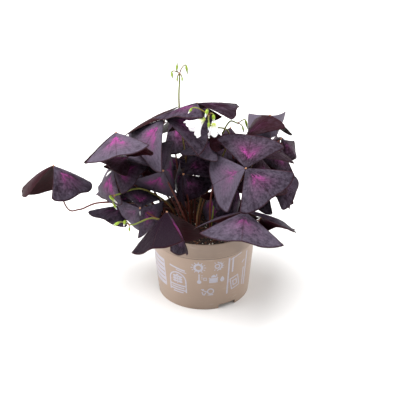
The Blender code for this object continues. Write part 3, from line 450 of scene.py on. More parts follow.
def finish(mat, inputs, height=None, strength=0.3, distance=0.3 * MM):
    """Closes a material with its surface shader, over a bump from height if one is given."""
    shader = add(mat, "ShaderNodeBsdfPrincipled", inputs)
    if height is not None:
        bump = add(mat, "ShaderNodeBump", {"Strength": strength, "Distance": distance, "Height": height})
        mat.node_tree.links.new(bump.outputs["Normal"], shader.inputs["Normal"])
    out = add(mat, "ShaderNodeOutputMaterial")
    mat.node_tree.links.new(shader.outputs[0], out.inputs["Surface"])
    return mat


def rgba(colour):
    return (colour[0], colour[1], colour[2], 1.0)


def blend_colour(mat, factor, a, b, mode="MIX"):
    """Output of a colour mix; a and b are colours or outputs."""
    node = add(mat, "ShaderNodeMix", data_type="RGBA", blend_type=mode, clamp_factor=True)
    for socket, value in ((0, factor), (6, a), (7, b)):
        if isinstance(value, bpy.types.NodeSocket):
            mat.node_tree.links.new(value, node.inputs[socket])
        else:
            node.inputs[socket].default_value = value
    return node.outputs[2]


def calc(mat, operation, a, b=0.0, c=0.0):
    """Output of one sum on outputs or numbers."""
    return add(mat, "ShaderNodeMath", {0: a, 1: b, 2: c}, operation=operation).outputs[0]


def ramp(mat, value, low, high):
    """0 below low and 1 above high, smooth between."""
    return add(mat, "ShaderNodeMapRange", {"Value": value, "From Min": low, "From Max": high},
               interpolation_type="SMOOTHSTEP").outputs[0]


def blade_coordinates(mat):
    """Across (0 on the midrib, 1 at the sides) and along (0 at the junction) a leaflet."""
    uv = add(mat, "ShaderNodeUVMap", uv_map="blade")
    split = add(mat, "ShaderNodeSeparateXYZ", {0: uv.outputs[0]})
    signed = calc(mat, "MULTIPLY_ADD", split.outputs[0], 2.0, -1.0)
    return signed, calc(mat, "ABSOLUTE", signed), split.outputs[1]


def vein_height(mat, across, along):
    """Side veins: they leave the midrib every 4 mm or so and slant out to the edge."""
    slant = calc(mat, "MULTIPLY_ADD", across, -0.42, along)
    veins = calc(mat, "PINGPONG", calc(mat, "MULTIPLY", slant, 11.0), 0.5)
    lines = ramp(mat, veins, 0.0, 0.16)
    rib = ramp(mat, across, 0.0, 0.035)
    return lines, rib


def leaf_top_material(look):
    """Living oxalis leaf, upper side: near-black purple with a satin, slightly powdery bloom whose grey is partly
    painted sheen, a mottled magenta chevron round the midrib and faint slanting veins."""
    mat = new_material("oxalis_leaf_upper_satin")
    signed, across, along = blade_coordinates(mat)
    tone = add(mat, "ShaderNodeAttribute", attribute_name="tone", attribute_type="GEOMETRY")
    tones = add(mat, "ShaderNodeSeparateColor", {0: tone.outputs["Color"]})
    pale_and_painted_light, patchy, red, seed = tones.outputs[0], tones.outputs[1], tones.outputs[2], tone.outputs["Alpha"]
    place = add(mat, "ShaderNodeTexCoord")
    # Cloudy change of colour over about 15 mm, a mottle of about 4 mm and skin grain of 0.6 mm.
    cloud = add(mat, "ShaderNodeTexNoise", {"Vector": place.outputs["Object"], "Scale": 70.0, "Detail": 2.0})
    mottle = add(mat, "ShaderNodeTexNoise", {"Vector": place.outputs["Object"], "Scale": 260.0, "Detail": 5.0,
                                             "Roughness": 0.72})
    grain = add(mat, "ShaderNodeTexNoise", {"Vector": place.outputs["Object"], "Scale": 1500.0, "Detail": 2.0})
    # Streaks that fan out from the junction, a few to each millimetre of edge.
    fan = add(mat, "ShaderNodeCombineXYZ", {0: calc(mat, "MULTIPLY", signed, 9.0), 1: calc(mat, "MULTIPLY", along, 3.2),
                                            2: calc(mat, "MULTIPLY", seed, 40.0)})
    streak = add(mat, "ShaderNodeTexNoise", {"Vector": fan.outputs[0], "Scale": 1.0, "Detail": 5.0, "Roughness": 0.68})
    # A slow wander that makes every patch its own shape.
    drift = add(mat, "ShaderNodeCombineXYZ", {0: calc(mat, "MULTIPLY", signed, 1.6), 1: calc(mat, "MULTIPLY", along, 2.4),
                                              2: calc(mat, "MULTIPLY", seed, 90.0)})
    wander = add(mat, "ShaderNodeTexNoise", {"Vector": drift.outputs[0], "Scale": 1.0, "Detail": 1.0})
    # The grey bloom, partly the leaf's own powdery bloom and partly painted sheen and light: more on pale leaflets,
    # broken up by cloud, streak and mottle.
    rough_up = calc(mat, "ADD", calc(mat, "MULTIPLY", cloud.outputs[0], 0.8), calc(mat, "MULTIPLY", streak.outputs[0], 1.1))
    rough_up = calc(mat, "MULTIPLY_ADD", mottle.outputs[0], 1.3, rough_up)
    bloom_and_painted_sheen = calc(mat, "MULTIPLY_ADD", calc(mat, "SUBTRACT", rough_up, 1.6), 1.1, pale_and_painted_light)
    base = blend_colour(mat, bloom_and_painted_sheen, rgba(look.top), rgba(look.bloom))
    base = blend_colour(mat, calc(mat, "MULTIPLY", red, 0.85), base, rgba(look.under))
    # The patch: a chevron whose point faces the junction, sharp inside and streaky outside.
    middle = calc(mat, "MULTIPLY_ADD", across, 0.42, calc(mat, "MULTIPLY_ADD", wander.outputs[0], 0.34, 0.10))
    ragged = calc(mat, "MULTIPLY_ADD", calc(mat, "SUBTRACT", mottle.outputs[0], 0.5), 0.50, along)
    ragged = calc(mat, "MULTIPLY_ADD", calc(mat, "SUBTRACT", streak.outputs[0], 0.5), 0.55, ragged)
    gap = calc(mat, "SUBTRACT", ragged, middle)
    inner = ramp(mat, gap, -0.09, 0.02)
    reach = calc(mat, "MULTIPLY_ADD", patchy, 0.20, 0.06)
    outer = calc(mat, "SUBTRACT", 1.0, add(mat, "ShaderNodeMapRange", {"Value": gap, "From Min": 0.0, "From Max": reach},
                                           interpolation_type="SMOOTHSTEP").outputs[0])
    wide = calc(mat, "MULTIPLY_ADD", patchy, 0.42, 0.22)
    sides = calc(mat, "SUBTRACT", 1.0, add(mat, "ShaderNodeMapRange", {"Value": across, "From Min": calc(mat, "MULTIPLY", wide, 0.35),
                                                                       "From Max": wide},
                                           interpolation_type="SMOOTHSTEP").outputs[0])
    mask = calc(mat, "MULTIPLY", calc(mat, "MULTIPLY", inner, outer), calc(mat, "MULTIPLY", sides, patchy))
    # A faint magenta haze lies wider round the patch.
    haze = calc(mat, "MULTIPLY", ramp(mat, along, 0.10, 0.40), calc(mat, "SUBTRACT", 1.0, ramp(mat, along, 0.45, 0.95)))
    haze = calc(mat, "MULTIPLY", haze, calc(mat, "SUBTRACT", 1.0, ramp(mat, across, 0.2, 0.95)))
    haze = calc(mat, "MULTIPLY", haze, calc(mat, "MULTIPLY", patchy, 0.30))
    flecks = ramp(mat, calc(mat, "ADD", mottle.outputs[0], calc(mat, "MULTIPLY", streak.outputs[0], 0.6)), 0.62, 0.98)
    pink = calc(mat, "MULTIPLY", calc(mat, "ADD", mask, haze), calc(mat, "MULTIPLY_ADD", flecks, 0.95, 0.16))
    base = blend_colour(mat, pink, base, rgba(look.patch))
    lines, rib = vein_height(mat, across, along)
    base = blend_colour(mat, calc(mat, "MULTIPLY_ADD", lines, -0.22, 0.22), base, rgba(look.top))
    base = blend_colour(mat, calc(mat, "MULTIPLY_ADD", rib, -0.40, 0.40), base, rgba(look.under))
    # A narrow wine-dark rim.
    rim = calc(mat, "MAXIMUM", ramp(mat, along, 0.955, 0.995), ramp(mat, across, 0.955, 0.995))
    base = blend_colour(mat, calc(mat, "MULTIPLY", rim, 0.75), base, rgba(look.edge))
    height = calc(mat, "ADD", calc(mat, "MULTIPLY", lines, 0.5), calc(mat, "MULTIPLY", rib, 0.7))
    height = calc(mat, "MULTIPLY_ADD", grain.outputs[0], 0.12, height)
    height = calc(mat, "MULTIPLY_ADD", mottle.outputs[0], 1.6, height)
    height = calc(mat, "MULTIPLY_ADD", streak.outputs[0], 1.2, height)
    rough = calc(mat, "MULTIPLY_ADD", mottle.outputs[0], 0.25, 0.34)
    return finish(mat, {"Base Color": base, "Roughness": rough, "IOR": 1.13}, height, 0.8, 0.4 * MM)


def leaf_under_material(look):
    """Living oxalis leaf, underside: smooth wine-red skin with raised veins, a little glossier."""
    mat = new_material("oxalis_leaf_underside")
    signed, across, along = blade_coordinates(mat)
    place = add(mat, "ShaderNodeTexCoord")
    cloud = add(mat, "ShaderNodeTexNoise", {"Vector": place.outputs["Object"], "Scale": 110.0, "Detail": 3.0})
    lines, rib = vein_height(mat, across, along)
    dark = tuple(c * 0.45 for c in look.under)
    base = blend_colour(mat, cloud.outputs[0], rgba(dark), rgba(look.under))
    base = blend_colour(mat, calc(mat, "MULTIPLY_ADD", lines, -0.3, 0.3), base, rgba(look.edge))
    height = calc(mat, "ADD", calc(mat, "MULTIPLY", lines, -0.6), calc(mat, "MULTIPLY", rib, -1.0))
    return finish(mat, {"Base Color": base, "Roughness": 0.42, "IOR": 1.15}, height, 0.5, 0.3 * MM)


def leaf_edge_material(look):
    """Cut-thin rim of a leaf: the red of the underside, matt."""
    mat = new_material("oxalis_leaf_rim")
    place = add(mat, "ShaderNodeTexCoord")
    cloud = add(mat, "ShaderNodeTexNoise", {"Vector": place.outputs["Object"], "Scale": 300.0})
    base = blend_colour(mat, cloud.outputs[0], rgba(look.under), rgba(look.edge))
    return finish(mat, {"Base Color": base, "Roughness": 0.6, "IOR": 1.42})


def stem_material(name, low, high, seed):
    """Fleshy stem: two colours that change along it (attribute "along"), with fine long streaks
    and a moist shine."""
    mat = new_material(name)
    run = add(mat, "ShaderNodeAttribute", attribute_name="along", attribute_type="GEOMETRY")
    place = add(mat, "ShaderNodeTexCoord")
    stretched = add(mat, "ShaderNodeMapping", {"Vector": place.outputs["Object"], "Scale": (900.0, 900.0, 90.0),
                                               "Location": (seed, 0.0, 0.0)})
    streak = add(mat, "ShaderNodeTexNoise", {"Vector": stretched.outputs[0], "Scale": 1.0, "Detail": 2.0})
    factor = calc(mat, "MULTIPLY_ADD", streak.outputs[0], 0.5, calc(mat, "SUBTRACT", run.outputs["Fac"], 0.25))
    base = blend_colour(mat, factor, rgba(low), rgba(high))
    return finish(mat, {"Base Color": base, "Roughness": 0.38, "IOR": 1.4, "Subsurface Weight": 0.15,
                        "Subsurface Radius": (0.8, 0.5, 0.3), "Subsurface Scale": 1.0 * MM},
                  streak.outputs[0], 0.25, 0.2 * MM)


def plastic_material(look):
    """Injection-moulded polypropylene, taupe: a soft, even shine with fine moulding grain and faint scuffs from
    handling; painted shade darkens the collar and a line under its step."""
    mat = new_material("polypropylene_taupe_moulded")
    place = add(mat, "ShaderNodeTexCoord")
    grain = add(mat, "ShaderNodeTexNoise", {"Vector": place.outputs["Object"], "Scale": 2600.0, "Detail": 2.0})
    cloud = add(mat, "ShaderNodeTexNoise", {"Vector": place.outputs["Object"], "Scale": 28.0, "Detail": 3.0})
    scuff = add(mat, "ShaderNodeTexNoise", {"Vector": add(mat, "ShaderNodeMapping", {
        "Vector": place.outputs["Object"], "Scale": (60.0, 60.0, 420.0)}).outputs[0], "Scale": 1.0, "Detail": 5.0})
    paler = tuple(min(1.0, c * 1.16) for c in look.plastic)
    darker = tuple(c * 0.90 for c in look.plastic)
    base = blend_colour(mat, cloud.outputs[0], rgba(darker), rgba(paler))
    base = blend_colour(mat, calc(mat, "MULTIPLY", ramp(mat, scuff.outputs[0], 0.60, 0.78), 0.18), base, (0.75, 0.70, 0.64, 1.0))
    # Painted shade: a dark line just under the collar step stands for the step's shadow, and the whole collar is
    # darkened for the shade of the leaves over it.
    high = add(mat, "ShaderNodeSeparateXYZ", {0: place.outputs["Object"]}).outputs[2]
    step = POT_COLLAR_BOTTOM * MM
    under_collar_shadow = calc(mat, "SUBTRACT", ramp(mat, high, step - 2.2 * MM, step - 0.5 * MM), ramp(mat, high, step, step + 0.7 * MM))
    painted_shade = calc(mat, "MULTIPLY_ADD", ramp(mat, cloud.outputs[0], 0.35, 0.65), 0.25, 0.22)
    painted_shade = calc(mat, "MULTIPLY", ramp(mat, high, step, step + 2.0 * MM), painted_shade)
    base = blend_colour(mat, calc(mat, "MULTIPLY_ADD", under_collar_shadow, 0.80, painted_shade), base, rgba(look.painted_shade))
    rough = calc(mat, "MULTIPLY_ADD", scuff.outputs[0], 0.22, 0.30)
    return finish(mat, {"Base Color": base, "Roughness": rough, "IOR": 1.49}, grain.outputs[0], 0.16, 0.12 * MM)


def ink_material(look):
    """Screen-printed white ink: thin, slightly uneven, satin."""
    mat = new_material("screen_print_white_ink")
    place = add(mat, "ShaderNodeTexCoord")
    wear = add(mat, "ShaderNodeTexNoise", {"Vector": place.outputs["Object"], "Scale": 520.0, "Detail": 4.0})
    base = blend_colour(mat, calc(mat, "MULTIPLY", ramp(mat, wear.outputs[0], 0.52, 0.75), 0.45), rgba(look.ink), rgba(look.plastic))
    return finish(mat, {"Base Color": base, "Roughness": 0.5, "IOR": 1.48})


def peat_material(look):
    """Damp peat with bark dust: nearly black-brown, crumbly and matt."""
    mat = new_material("damp_peat")
    place = add(mat, "ShaderNodeTexCoord")
    crumb = add(mat, "ShaderNodeTexVoronoi", {"Vector": place.outputs["Object"], "Scale": 420.0})
    cloud = add(mat, "ShaderNodeTexNoise", {"Vector": place.outputs["Object"], "Scale": 160.0, "Detail": 6.0})
    base = blend_colour(mat, ramp(mat, cloud.outputs[0], 0.35, 0.75), rgba(look.peat), rgba(look.bark))
    base = blend_colour(mat, ramp(mat, crumb.outputs["Distance"], 0.15, 0.6), base, rgba(tuple(c * 0.3 for c in look.peat)))
    return finish(mat, {"Base Color": base, "Roughness": 0.9}, calc(mat, "ADD", crumb.outputs["Distance"], cloud.outputs[0]),
                  0.9, 1.2 * MM)


def crumb_material(name, colour, rough):
    """One kind of loose grain on the soil, mottled."""
    mat = new_material(name)
    place = add(mat, "ShaderNodeTexCoord")
    cloud = add(mat, "ShaderNodeTexNoise", {"Vector": place.outputs["Object"], "Scale": 700.0, "Detail": 4.0})
    base = blend_colour(mat, cloud.outputs[0], rgba(tuple(c * 0.45 for c in colour)), rgba(colour))
    return finish(mat, {"Base Color": base, "Roughness": rough}, cloud.outputs[0], 0.6, 0.4 * MM)


def petal_material(look):
    """Thin white petal: silky, slightly translucent, yellow-green down in the throat, with faint
    lengthwise veins."""
    mat = new_material("white_petal_silky")
    signed, across, along = blade_coordinates(mat)
    lines = ramp(mat, calc(mat, "PINGPONG", calc(mat, "MULTIPLY", signed, 4.0), 0.5), 0.0, 0.2)
    base = blend_colour(mat, ramp(mat, along, 0.05, 0.45), rgba(look.throat), rgba(look.petal))
    base = blend_colour(mat, calc(mat, "MULTIPLY_ADD", lines, -0.16, 0.16), base, rgba(look.blush))
    return finish(mat, {"Base Color": base, "Roughness": 0.45, "IOR": 1.4, "Sheen Weight": 0.2,
                        "Subsurface Weight": 0.3, "Subsurface Radius": (1.0, 0.9, 0.9), "Subsurface Scale": 1.0 * MM},
                  lines, 0.3, 0.2 * MM)


def floor_material(look):
    """Plain pale studio floor."""
    mat = new_material("studio_floor_pale")
    return finish(mat, {"Base Color": rgba(look.floor), "Roughness": 0.55})


# ---------------------------------------------------------------- shapes

def new_piece(name, bm, materials, replaced=(), smooth=True, sharp=40.0):
    """Puts a finished mesh into the scene as a piece of the plant."""
    mesh = bpy.data.meshes.new(name)
    bm.to_mesh(mesh)
    bm.free()
    obj = bpy.data.objects.new(name, mesh)
    bpy.context.scene.collection.objects.link(obj)
    for mat in materials:
        mesh.materials.append(mat)
    for face in mesh.polygons:
        face.use_smooth = smooth
    if smooth and sharp:
        mesh.set_sharp_from_angle(angle=radians(sharp))
    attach(obj, "root")
    if replaced:
        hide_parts(*replaced)
    return obj


def edge_reach(t, reach):
    """Reach of a leaflet's edge at t, on a smooth line through the given reaches."""
    count = len(EDGE_AT)
    i = 0
    while i < count - 2 and t > EDGE_AT[i + 1]:
        i += 1
    x0, x1 = EDGE_AT[i], EDGE_AT[i + 1]
    y0, y1 = reach[i], reach[i + 1]

    def slope(k):
        if k == 0:
            return 0.0
        low, high = max(k - 1, 0), min(k + 1, count - 1)
        return (reach[high] - reach[low]) / (EDGE_AT[high] - EDGE_AT[low])

    wide = x1 - x0
    u = (t - x0) / wide
    return ((2 * u ** 3 - 3 * u ** 2 + 1) * y0 + (u ** 3 - 2 * u ** 2 + u) * wide * slope(i)
            + (3 * u ** 2 - 2 * u ** 3) * y1 + (u ** 3 - u ** 2) * wide * slope(i + 1))


def leaflet_point(s, t, size, spread, fold, curl, edge):
    """A point of one leaflet in mm: x across, y outwards, z up, before it is turned into place."""
    reach = s * edge_reach(abs(t), edge)
    half = radians(spread + 2.0 - 2.0 * reach)
    x = reach * size * sin(t * half)
    y = reach * size * cos(t * half)
    soft = 0.03 * size
    drop = (sqrt(x * x + soft * soft) - soft) * sin(radians(fold))
    x *= cos(radians(fold))
    c = radians(curl)
    turn = c * y / size
    return Vector((x, size / c * sin(turn) - drop * sin(turn),
                   -size / c * (1.0 - cos(turn)) - drop * cos(turn)))


def leaf_frame(lean, towards):
    """Rotation that leans the leaf's axis away from straight up."""
    return Matrix.Rotation(radians(lean), 3, Vector((-sin(radians(towards)), cos(radians(towards)), 0.0)))


def leaflet_frame(heading, hang):
    """Rotation whose columns are a leaflet's side, outward and upward directions."""
    h = radians(heading)
    d = radians(hang)
    out = Vector((cos(h) * cos(d), sin(h) * cos(d), -sin(d)))
    top = Vector((cos(h) * sin(d), sin(h) * sin(d), cos(d)))
    return Matrix((out.cross(top), out, top)).transposed()


def curve_points(knots, start, end, steps):
    """Points of a smooth line through the knots, with its direction set at both ends."""
    slopes = [start]
    for i in range(1, len(knots) - 1):
        slopes.append((knots[i + 1] - knots[i - 1]) * 0.5)
    slopes.append(end)
    points = [knots[0].copy()]
    for i in range(len(knots) - 1):
        for j in range(1, steps + 1):
            u = j / steps
            points.append(knots[i] * (2 * u ** 3 - 3 * u ** 2 + 1) + slopes[i] * (u ** 3 - 2 * u ** 2 + u)
                          + knots[i + 1] * (3 * u ** 2 - 2 * u ** 3) + slopes[i + 1] * (u ** 3 - u ** 2))
    return points


def petiole_points(leaf):
    """The leaf stem's centre line in mm, from the bottom of its soil hole to the junction."""
    joint = Vector(leaf["at"])
    foot = Vector((leaf["foot"][0], leaf["foot"][1], SOIL_TOP + 2.0))
    axis = leaf_frame(*leaf["lean"]) @ UP
    span = (joint - foot).length
    via = [Vector(p) for p in leaf.get("via", ())]
    rise, arrive = leaf.get("pull", (0.7, 0.9))
    reach = span if not via else span / (len(via) + 1)
    line = curve_points([foot] + via + [joint], UP * reach * rise, axis * reach * arrive, 28 if not via else 12)
    line[-1] = joint - axis * 0.3
    return [Vector((foot.x, foot.y, SOIL_TOP - HOLE_DEPTH + HOLE_GAP))] + line


def sweep(bm, points, radii, sides=8, layer=None, material=0):
    """A closed round tube along points (mm): one ring is extruded on from point to point."""
    count = len(points)
    made = bmesh.ops.create_circle(bm, cap_ends=True, segments=sides, radius=1.0)["verts"]
    ring = list(made)
    faces = list({f for v in ring for f in v.link_faces})
    edges = list({e for v in ring for e in v.link_edges})
    side = (points[1] - points[0]).normalized().orthogonal().normalized()
    before = Matrix.Identity(4)
    every = list(ring)
    for i, point in enumerate(points):
        ahead = (points[min(i + 1, count - 1)] - points[max(i - 1, 0)]).normalized()
        side = (side - ahead * side.dot(ahead)).normalized()
        turn = Matrix((side, ahead.cross(side), ahead)).transposed().to_4x4()
        now = Matrix.Translation(point * MM) @ turn @ Matrix.Diagonal((radii[i] * MM, radii[i] * MM, radii[i] * MM, 1.0))
        if i:
            grown = bmesh.ops.extrude_edge_only(bm, edges=edges)["geom"]
            ring = [g for g in grown if isinstance(g, bmesh.types.BMVert)]
            fresh = [g for g in grown if isinstance(g, bmesh.types.BMEdge)]
            inside = set(ring)
            edges = [e for e in fresh if e.verts[0] in inside and e.verts[1] in inside]
            faces += [g for g in grown if isinstance(g, bmesh.types.BMFace)]
            every += ring
        bmesh.ops.transform(bm, matrix=now @ before.inverted(), verts=ring)
        if layer is not None:
            for v in ring:
                v[layer] = i / (count - 1)
        before = now
    faces += bmesh.ops.edgeloop_fill(bm, edges=edges)["faces"]
    for f in faces:
        if f.is_valid:
            f.material_index = material
    return every


def egg(bm, centre, radius, stretch=1.0, axis=None, u=10, v=8, material=0, taper=0.0):
    """A small egg at centre (mm), stretched along axis and narrowed towards its far end."""
    turn = UP.rotation_difference(axis).to_matrix().to_4x4() if axis is not None else Matrix.Identity(4)
    made = bmesh.ops.create_uvsphere(bm, u_segments=u, v_segments=v, radius=1.0)["verts"]
    for vert in made:
        thin = 1.0 - taper * (vert.co.z + 1.0) / 2.0
        vert.co.x *= thin
        vert.co.y *= thin
    size = Matrix.Diagonal((radius * MM, radius * MM, radius * stretch * MM, 1.0))
    bmesh.ops.transform(bm, matrix=Matrix.Translation(centre * MM) @ turn @ size, verts=made)
    for f in {f for vert in made for f in vert.link_faces}:
        f.material_index = material
    return made


# ---------------------------------------------------------------- leaves

def add_blade(bm, uv, tone, leaf, k, look, mood, edge, rng):
    """One leaflet: a grid bent to the leaflet's form, waved along its edge."""
    frame3 = leaf_frame(*leaf["lean"])
    axis = frame3 @ UP
    own = frame3 @ leaflet_frame(leaf["heading"] + 120.0 * k + leaf["swing"][k], leaf["hang"] + leaf["dip"][k])
    root = Vector(leaf["at"]) + axis * ROOT_STEP * (k - 1)
    made = bmesh.ops.create_grid(bm, x_segments=ACROSS, y_segments=ALONG, size=1.0)["verts"]
    for face in {f for v in made for f in v.link_faces}:
        for loop in face.loops:
            loop[uv].uv = ((loop.vert.co.x + 1.0) / 2.0, (loop.vert.co.y + 1.0) / 2.0)
    phase = rng.uniform(0.0, tau)
    second = rng.uniform(0.0, tau)
    twist = rng.uniform(-1.0, 1.0)
    seed = rng.random()
    ripple = look.ripple / MM
    shape = (leaf["size"], leaf["spread"], leaf["fold"], leaf["curl"], edge)
    for v in made:
        t = v.co.x
        s = BLADE_START + (1.0 - BLADE_START) * (v.co.y + 1.0) / 2.0
        here = leaflet_point(s, t, *shape)
        e = 0.02
        across = leaflet_point(s, t + e, *shape) - leaflet_point(s, t - e, *shape)
        out = leaflet_point(s + e, t, *shape) - leaflet_point(s - e, t, *shape)
        normal = across.cross(out).normalized()
        wave = (sin(3.1 * t + phase) * 0.6 + sin(7.3 * t + second) * 0.4) * s ** 3 + twist * t * s * s * 0.7
        # A shallow trough along each side vein gives the blade its quilted look, and each half
        # swells a little between the midrib and the side.
        quilt = 0.14 * cos(tau * 5.5 * (s - 0.42 * abs(t))) * min(1.0, abs(t) * 5.0) * s
        swell = BLADE_SWELL * sin(pi * abs(t)) * sin(pi * min(1.0, s))
        v.co = (own @ (here + normal * (ripple * wave + quilt + swell)) + root) * MM
        v[tone] = (mood[0], mood[1], mood[2], seed)


def build_leaf(name, leaf, look, mats, rng):
    """The three leaflets and the stem of one leaf."""
    bm = bmesh.new()
    uv = bm.loops.layers.uv.new("blade")
    tone = bm.verts.layers.float_color.new("tone")
    moods = TONES.get(name, ((rng.uniform(0.1, 0.7), rng.uniform(0.4, 1.0), rng.uniform(0.0, 0.3)),))
    for k in range(3):
        mood = moods[k % len(moods)]
        mood = tuple(m + rng.uniform(-0.06, 0.06) for m in mood)
        add_blade(bm, uv, tone, leaf, k, look, mood, POINTED_REACH if name in POINTED else EDGE_REACH, rng)
    blades = new_piece(name + "_blades", bm, mats["blade"], (name,), sharp=0.0)
    solid = blades.modifiers.new("thickness", "SOLIDIFY")
    solid.thickness = look.thick
    solid.offset = 0.0
    solid.material_offset = 1
    solid.material_offset_rim = 2
    bm = bmesh.new()
    along = bm.verts.layers.float.new("along")
    line = petiole_points(leaf)
    count = len(line)
    radii = [PETIOLE_FOOT_RADIUS + (PETIOLE_TIP_RADIUS - PETIOLE_FOOT_RADIUS) * i / (count - 1) for i in range(count)]
    sweep(bm, line, radii, 8, along, 0)
    axis = leaf_frame(*leaf["lean"]) @ UP
    egg(bm, Vector(leaf["at"]), KNOB_RADIUS, 0.85, axis, 14, 10, 1)
    new_piece(name + "_stem", bm, mats["stem"])


# ---------------------------------------------------------------- pot

def pot_radius(z):
    """Outer radius of the pot at height z (mm)."""
    if z > POT_COLLAR_BOTTOM + 0.4:
        part = (z - POT_COLLAR_BOTTOM - 0.4) / (POT_HEIGHT - 1.6 - POT_COLLAR_BOTTOM)
        return POT_COLLAR_FOOT_RADIUS + (POT_LIP_RADIUS - 0.1 - POT_COLLAR_FOOT_RADIUS) * part
    return POT_FOOT_RADIUS + (POT_BODY_TOP_RADIUS - POT_FOOT_RADIUS) * z / POT_COLLAR_BOTTOM


def spun(bm, profile, steps=POT_STEPS, angle=tau, closed=False, start=0.0):
    """Turns a line of (radius, height) points in mm round the pot's axis."""
    verts = [bm.verts.new((r * cos(start) * MM, r * sin(start) * MM, z * MM)) for r, z in profile]
    edges = [bm.edges.new(pair) for pair in zip(verts[:-1], verts[1:])]
    if closed:
        edges.append(bm.edges.new((verts[-1], verts[0])))
    full = angle >= tau - 1e-6
    bmesh.ops.spin(bm, geom=verts + edges, axis=(0.0, 0.0, 1.0), cent=(0.0, 0.0, 0.0), steps=steps,
                   angle=angle, use_merge=full)


def cut_away(obj, cutters):
    """Takes the cutter meshes out of obj with one Boolean, then removes them."""
    pile = bpy.data.collections.new(obj.name + "_cuts")
    made = []
    for bm in cutters:
        bmesh.ops.recalc_face_normals(bm, faces=bm.faces)
        mesh = bpy.data.meshes.new(obj.name + "_cut")
        bm.to_mesh(mesh)
        bm.free()
        cutter = bpy.data.objects.new(obj.name + "_cut", mesh)
        pile.objects.link(cutter)
        made.append(cutter)
    cut = obj.modifiers.new("cut", "BOOLEAN")
    cut.operation = "DIFFERENCE"
    cut.operand_type = "COLLECTION"
    cut.collection = pile
    cut.solver = "EXACT"
    graph = bpy.context.evaluated_depsgraph_get()
    done = bpy.data.meshes.new_from_object(obj.evaluated_get(graph))
    obj.modifiers.clear()
    obj.data = done
    for cutter in made:
        bpy.data.objects.remove(cutter)
    bpy.data.collections.remove(pile)


def pot_profile():
    """Radius and height of the pot's section, with rounded lip, collar step and foot."""
    foot, body, collar, lip, wall = (POT_FOOT_RADIUS, POT_BODY_TOP_RADIUS, POT_COLLAR_FOOT_RADIUS,
                                     POT_LIP_RADIUS - 0.1, POT_WALL)
    low, top = POT_COLLAR_BOTTOM, POT_HEIGHT
    return (
        (0.0, 0.0), (POT_PAD_RADIUS - 0.3, 0.0), (POT_PAD_RADIUS, 0.2), (POT_PAD_RADIUS + 0.9, POT_FLOOR_LOW - 0.3),
        (POT_PAD_RADIUS + 1.3, POT_FLOOR_LOW), (foot - 2.3, POT_FLOOR_LOW), (foot - 2.0, POT_FLOOR_LOW - 0.3),
        (foot - 1.8, 0.2), (foot - 1.6, 0.0), (foot - 0.3, 0.0), (foot - 0.05, 0.25), (pot_radius(2.0), 2.0),
        (pot_radius(30.0), 30.0), (pot_radius(60.0), 60.0),
        (body - 0.06, low - 0.5), (body, low - 0.1), (body + 0.15, low + 0.05), (collar - 0.25, low + 0.3),
        (collar, low + 0.6), (pot_radius(80.0), 80.0), (lip - 0.05, top - 2.2), (lip + 0.05, top - 1.6), (lip, top - 0.6),
        (lip - 0.2, top - 0.18), (lip - 0.6, top), (lip - 1.0, top - 0.1), (lip - wall + 0.1, top - 0.5),
        (lip - wall, top - 1.0), (collar - wall, low + 1.6), (body - wall, low - 0.4),
        (foot - 0.9, POT_FLOOR_HIGH + 0.6), (foot - 1.5, POT_FLOOR_HIGH), (0.0, POT_FLOOR_HIGH),
    )


def build_pot(look):
    bm = bmesh.new()
    spun(bm, pot_profile())
    bmesh.ops.remove_doubles(bm, verts=bm.verts, dist=0.001 * MM)
    bmesh.ops.recalc_face_normals(bm, faces=bm.faces)
    pot = new_piece("nursery_pot", bm, [plastic_material(look)], ("pot",), sharp=0.0)
    cutters = []
    for at in POT_NOTCH_AT:
        block = bmesh.new()
        inner, outer = POT_FOOT_RADIUS - 3.5, POT_FOOT_RADIUS + 3.0
        spun(block, ((inner, -2.0), (outer, -2.0), (outer, POT_FLOOR_LOW + 0.5), (inner, POT_FLOOR_LOW + 0.5)),
             8, radians(POT_NOTCH_WIDE), True, radians(at - POT_NOTCH_WIDE / 2.0))
        bmesh.ops.holes_fill(block, edges=block.edges, sides=4)
        cutters.append(block)
    for at in POT_DRAIN_AT:
        drill = bmesh.new()
        bmesh.ops.create_cone(drill, cap_ends=True, segments=24, radius1=POT_DRAIN_RADIUS * MM, radius2=POT_DRAIN_RADIUS * MM,
                              depth=6.0 * MM)
        spot = Vector((POT_DRAIN_CIRCLE * cos(radians(at)), POT_DRAIN_CIRCLE * sin(radians(at)), POT_FLOOR_LOW + 1.0))
        bmesh.ops.translate(drill, verts=drill.verts, vec=spot * MM)
        cutters.append(drill)
    cut_away(pot, cutters)
    for face in pot.data.polygons:
        face.use_smooth = True
    pot.data.set_sharp_from_angle(angle=radians(35.0))
    return pot


# Print on the pot, in flat mm: (kind, across from the sign's middle, up from it, width, height, turn).
SUN_RAYS = 12


def flat_bar(bm, x, y, wide, high, turn=0.0):
    """A bar, split so that it can bend round the pot."""
    across = max(1, int(wide / 1.5))
    up = max(1, int(high / 4.0))
    made = bmesh.ops.create_grid(bm, x_segments=across, y_segments=up, size=0.5)["verts"]
    place = Matrix.Translation((x, y, 0.0)) @ Matrix.Rotation(radians(turn), 4, "Z") @ Matrix.Diagonal((wide, high, 1.0, 1.0))
    bmesh.ops.transform(bm, matrix=place, verts=made)
    return made


def flat_disc(bm, x, y, radius, wide=1.0, sides=20):
    made = bmesh.ops.create_circle(bm, cap_ends=True, cap_tris=True, segments=sides, radius=radius)["verts"]
    bmesh.ops.transform(bm, matrix=Matrix.Translation((x, y, 0.0)) @ Matrix.Diagonal((wide, 1.0, 1.0, 1.0)), verts=made)
    return made


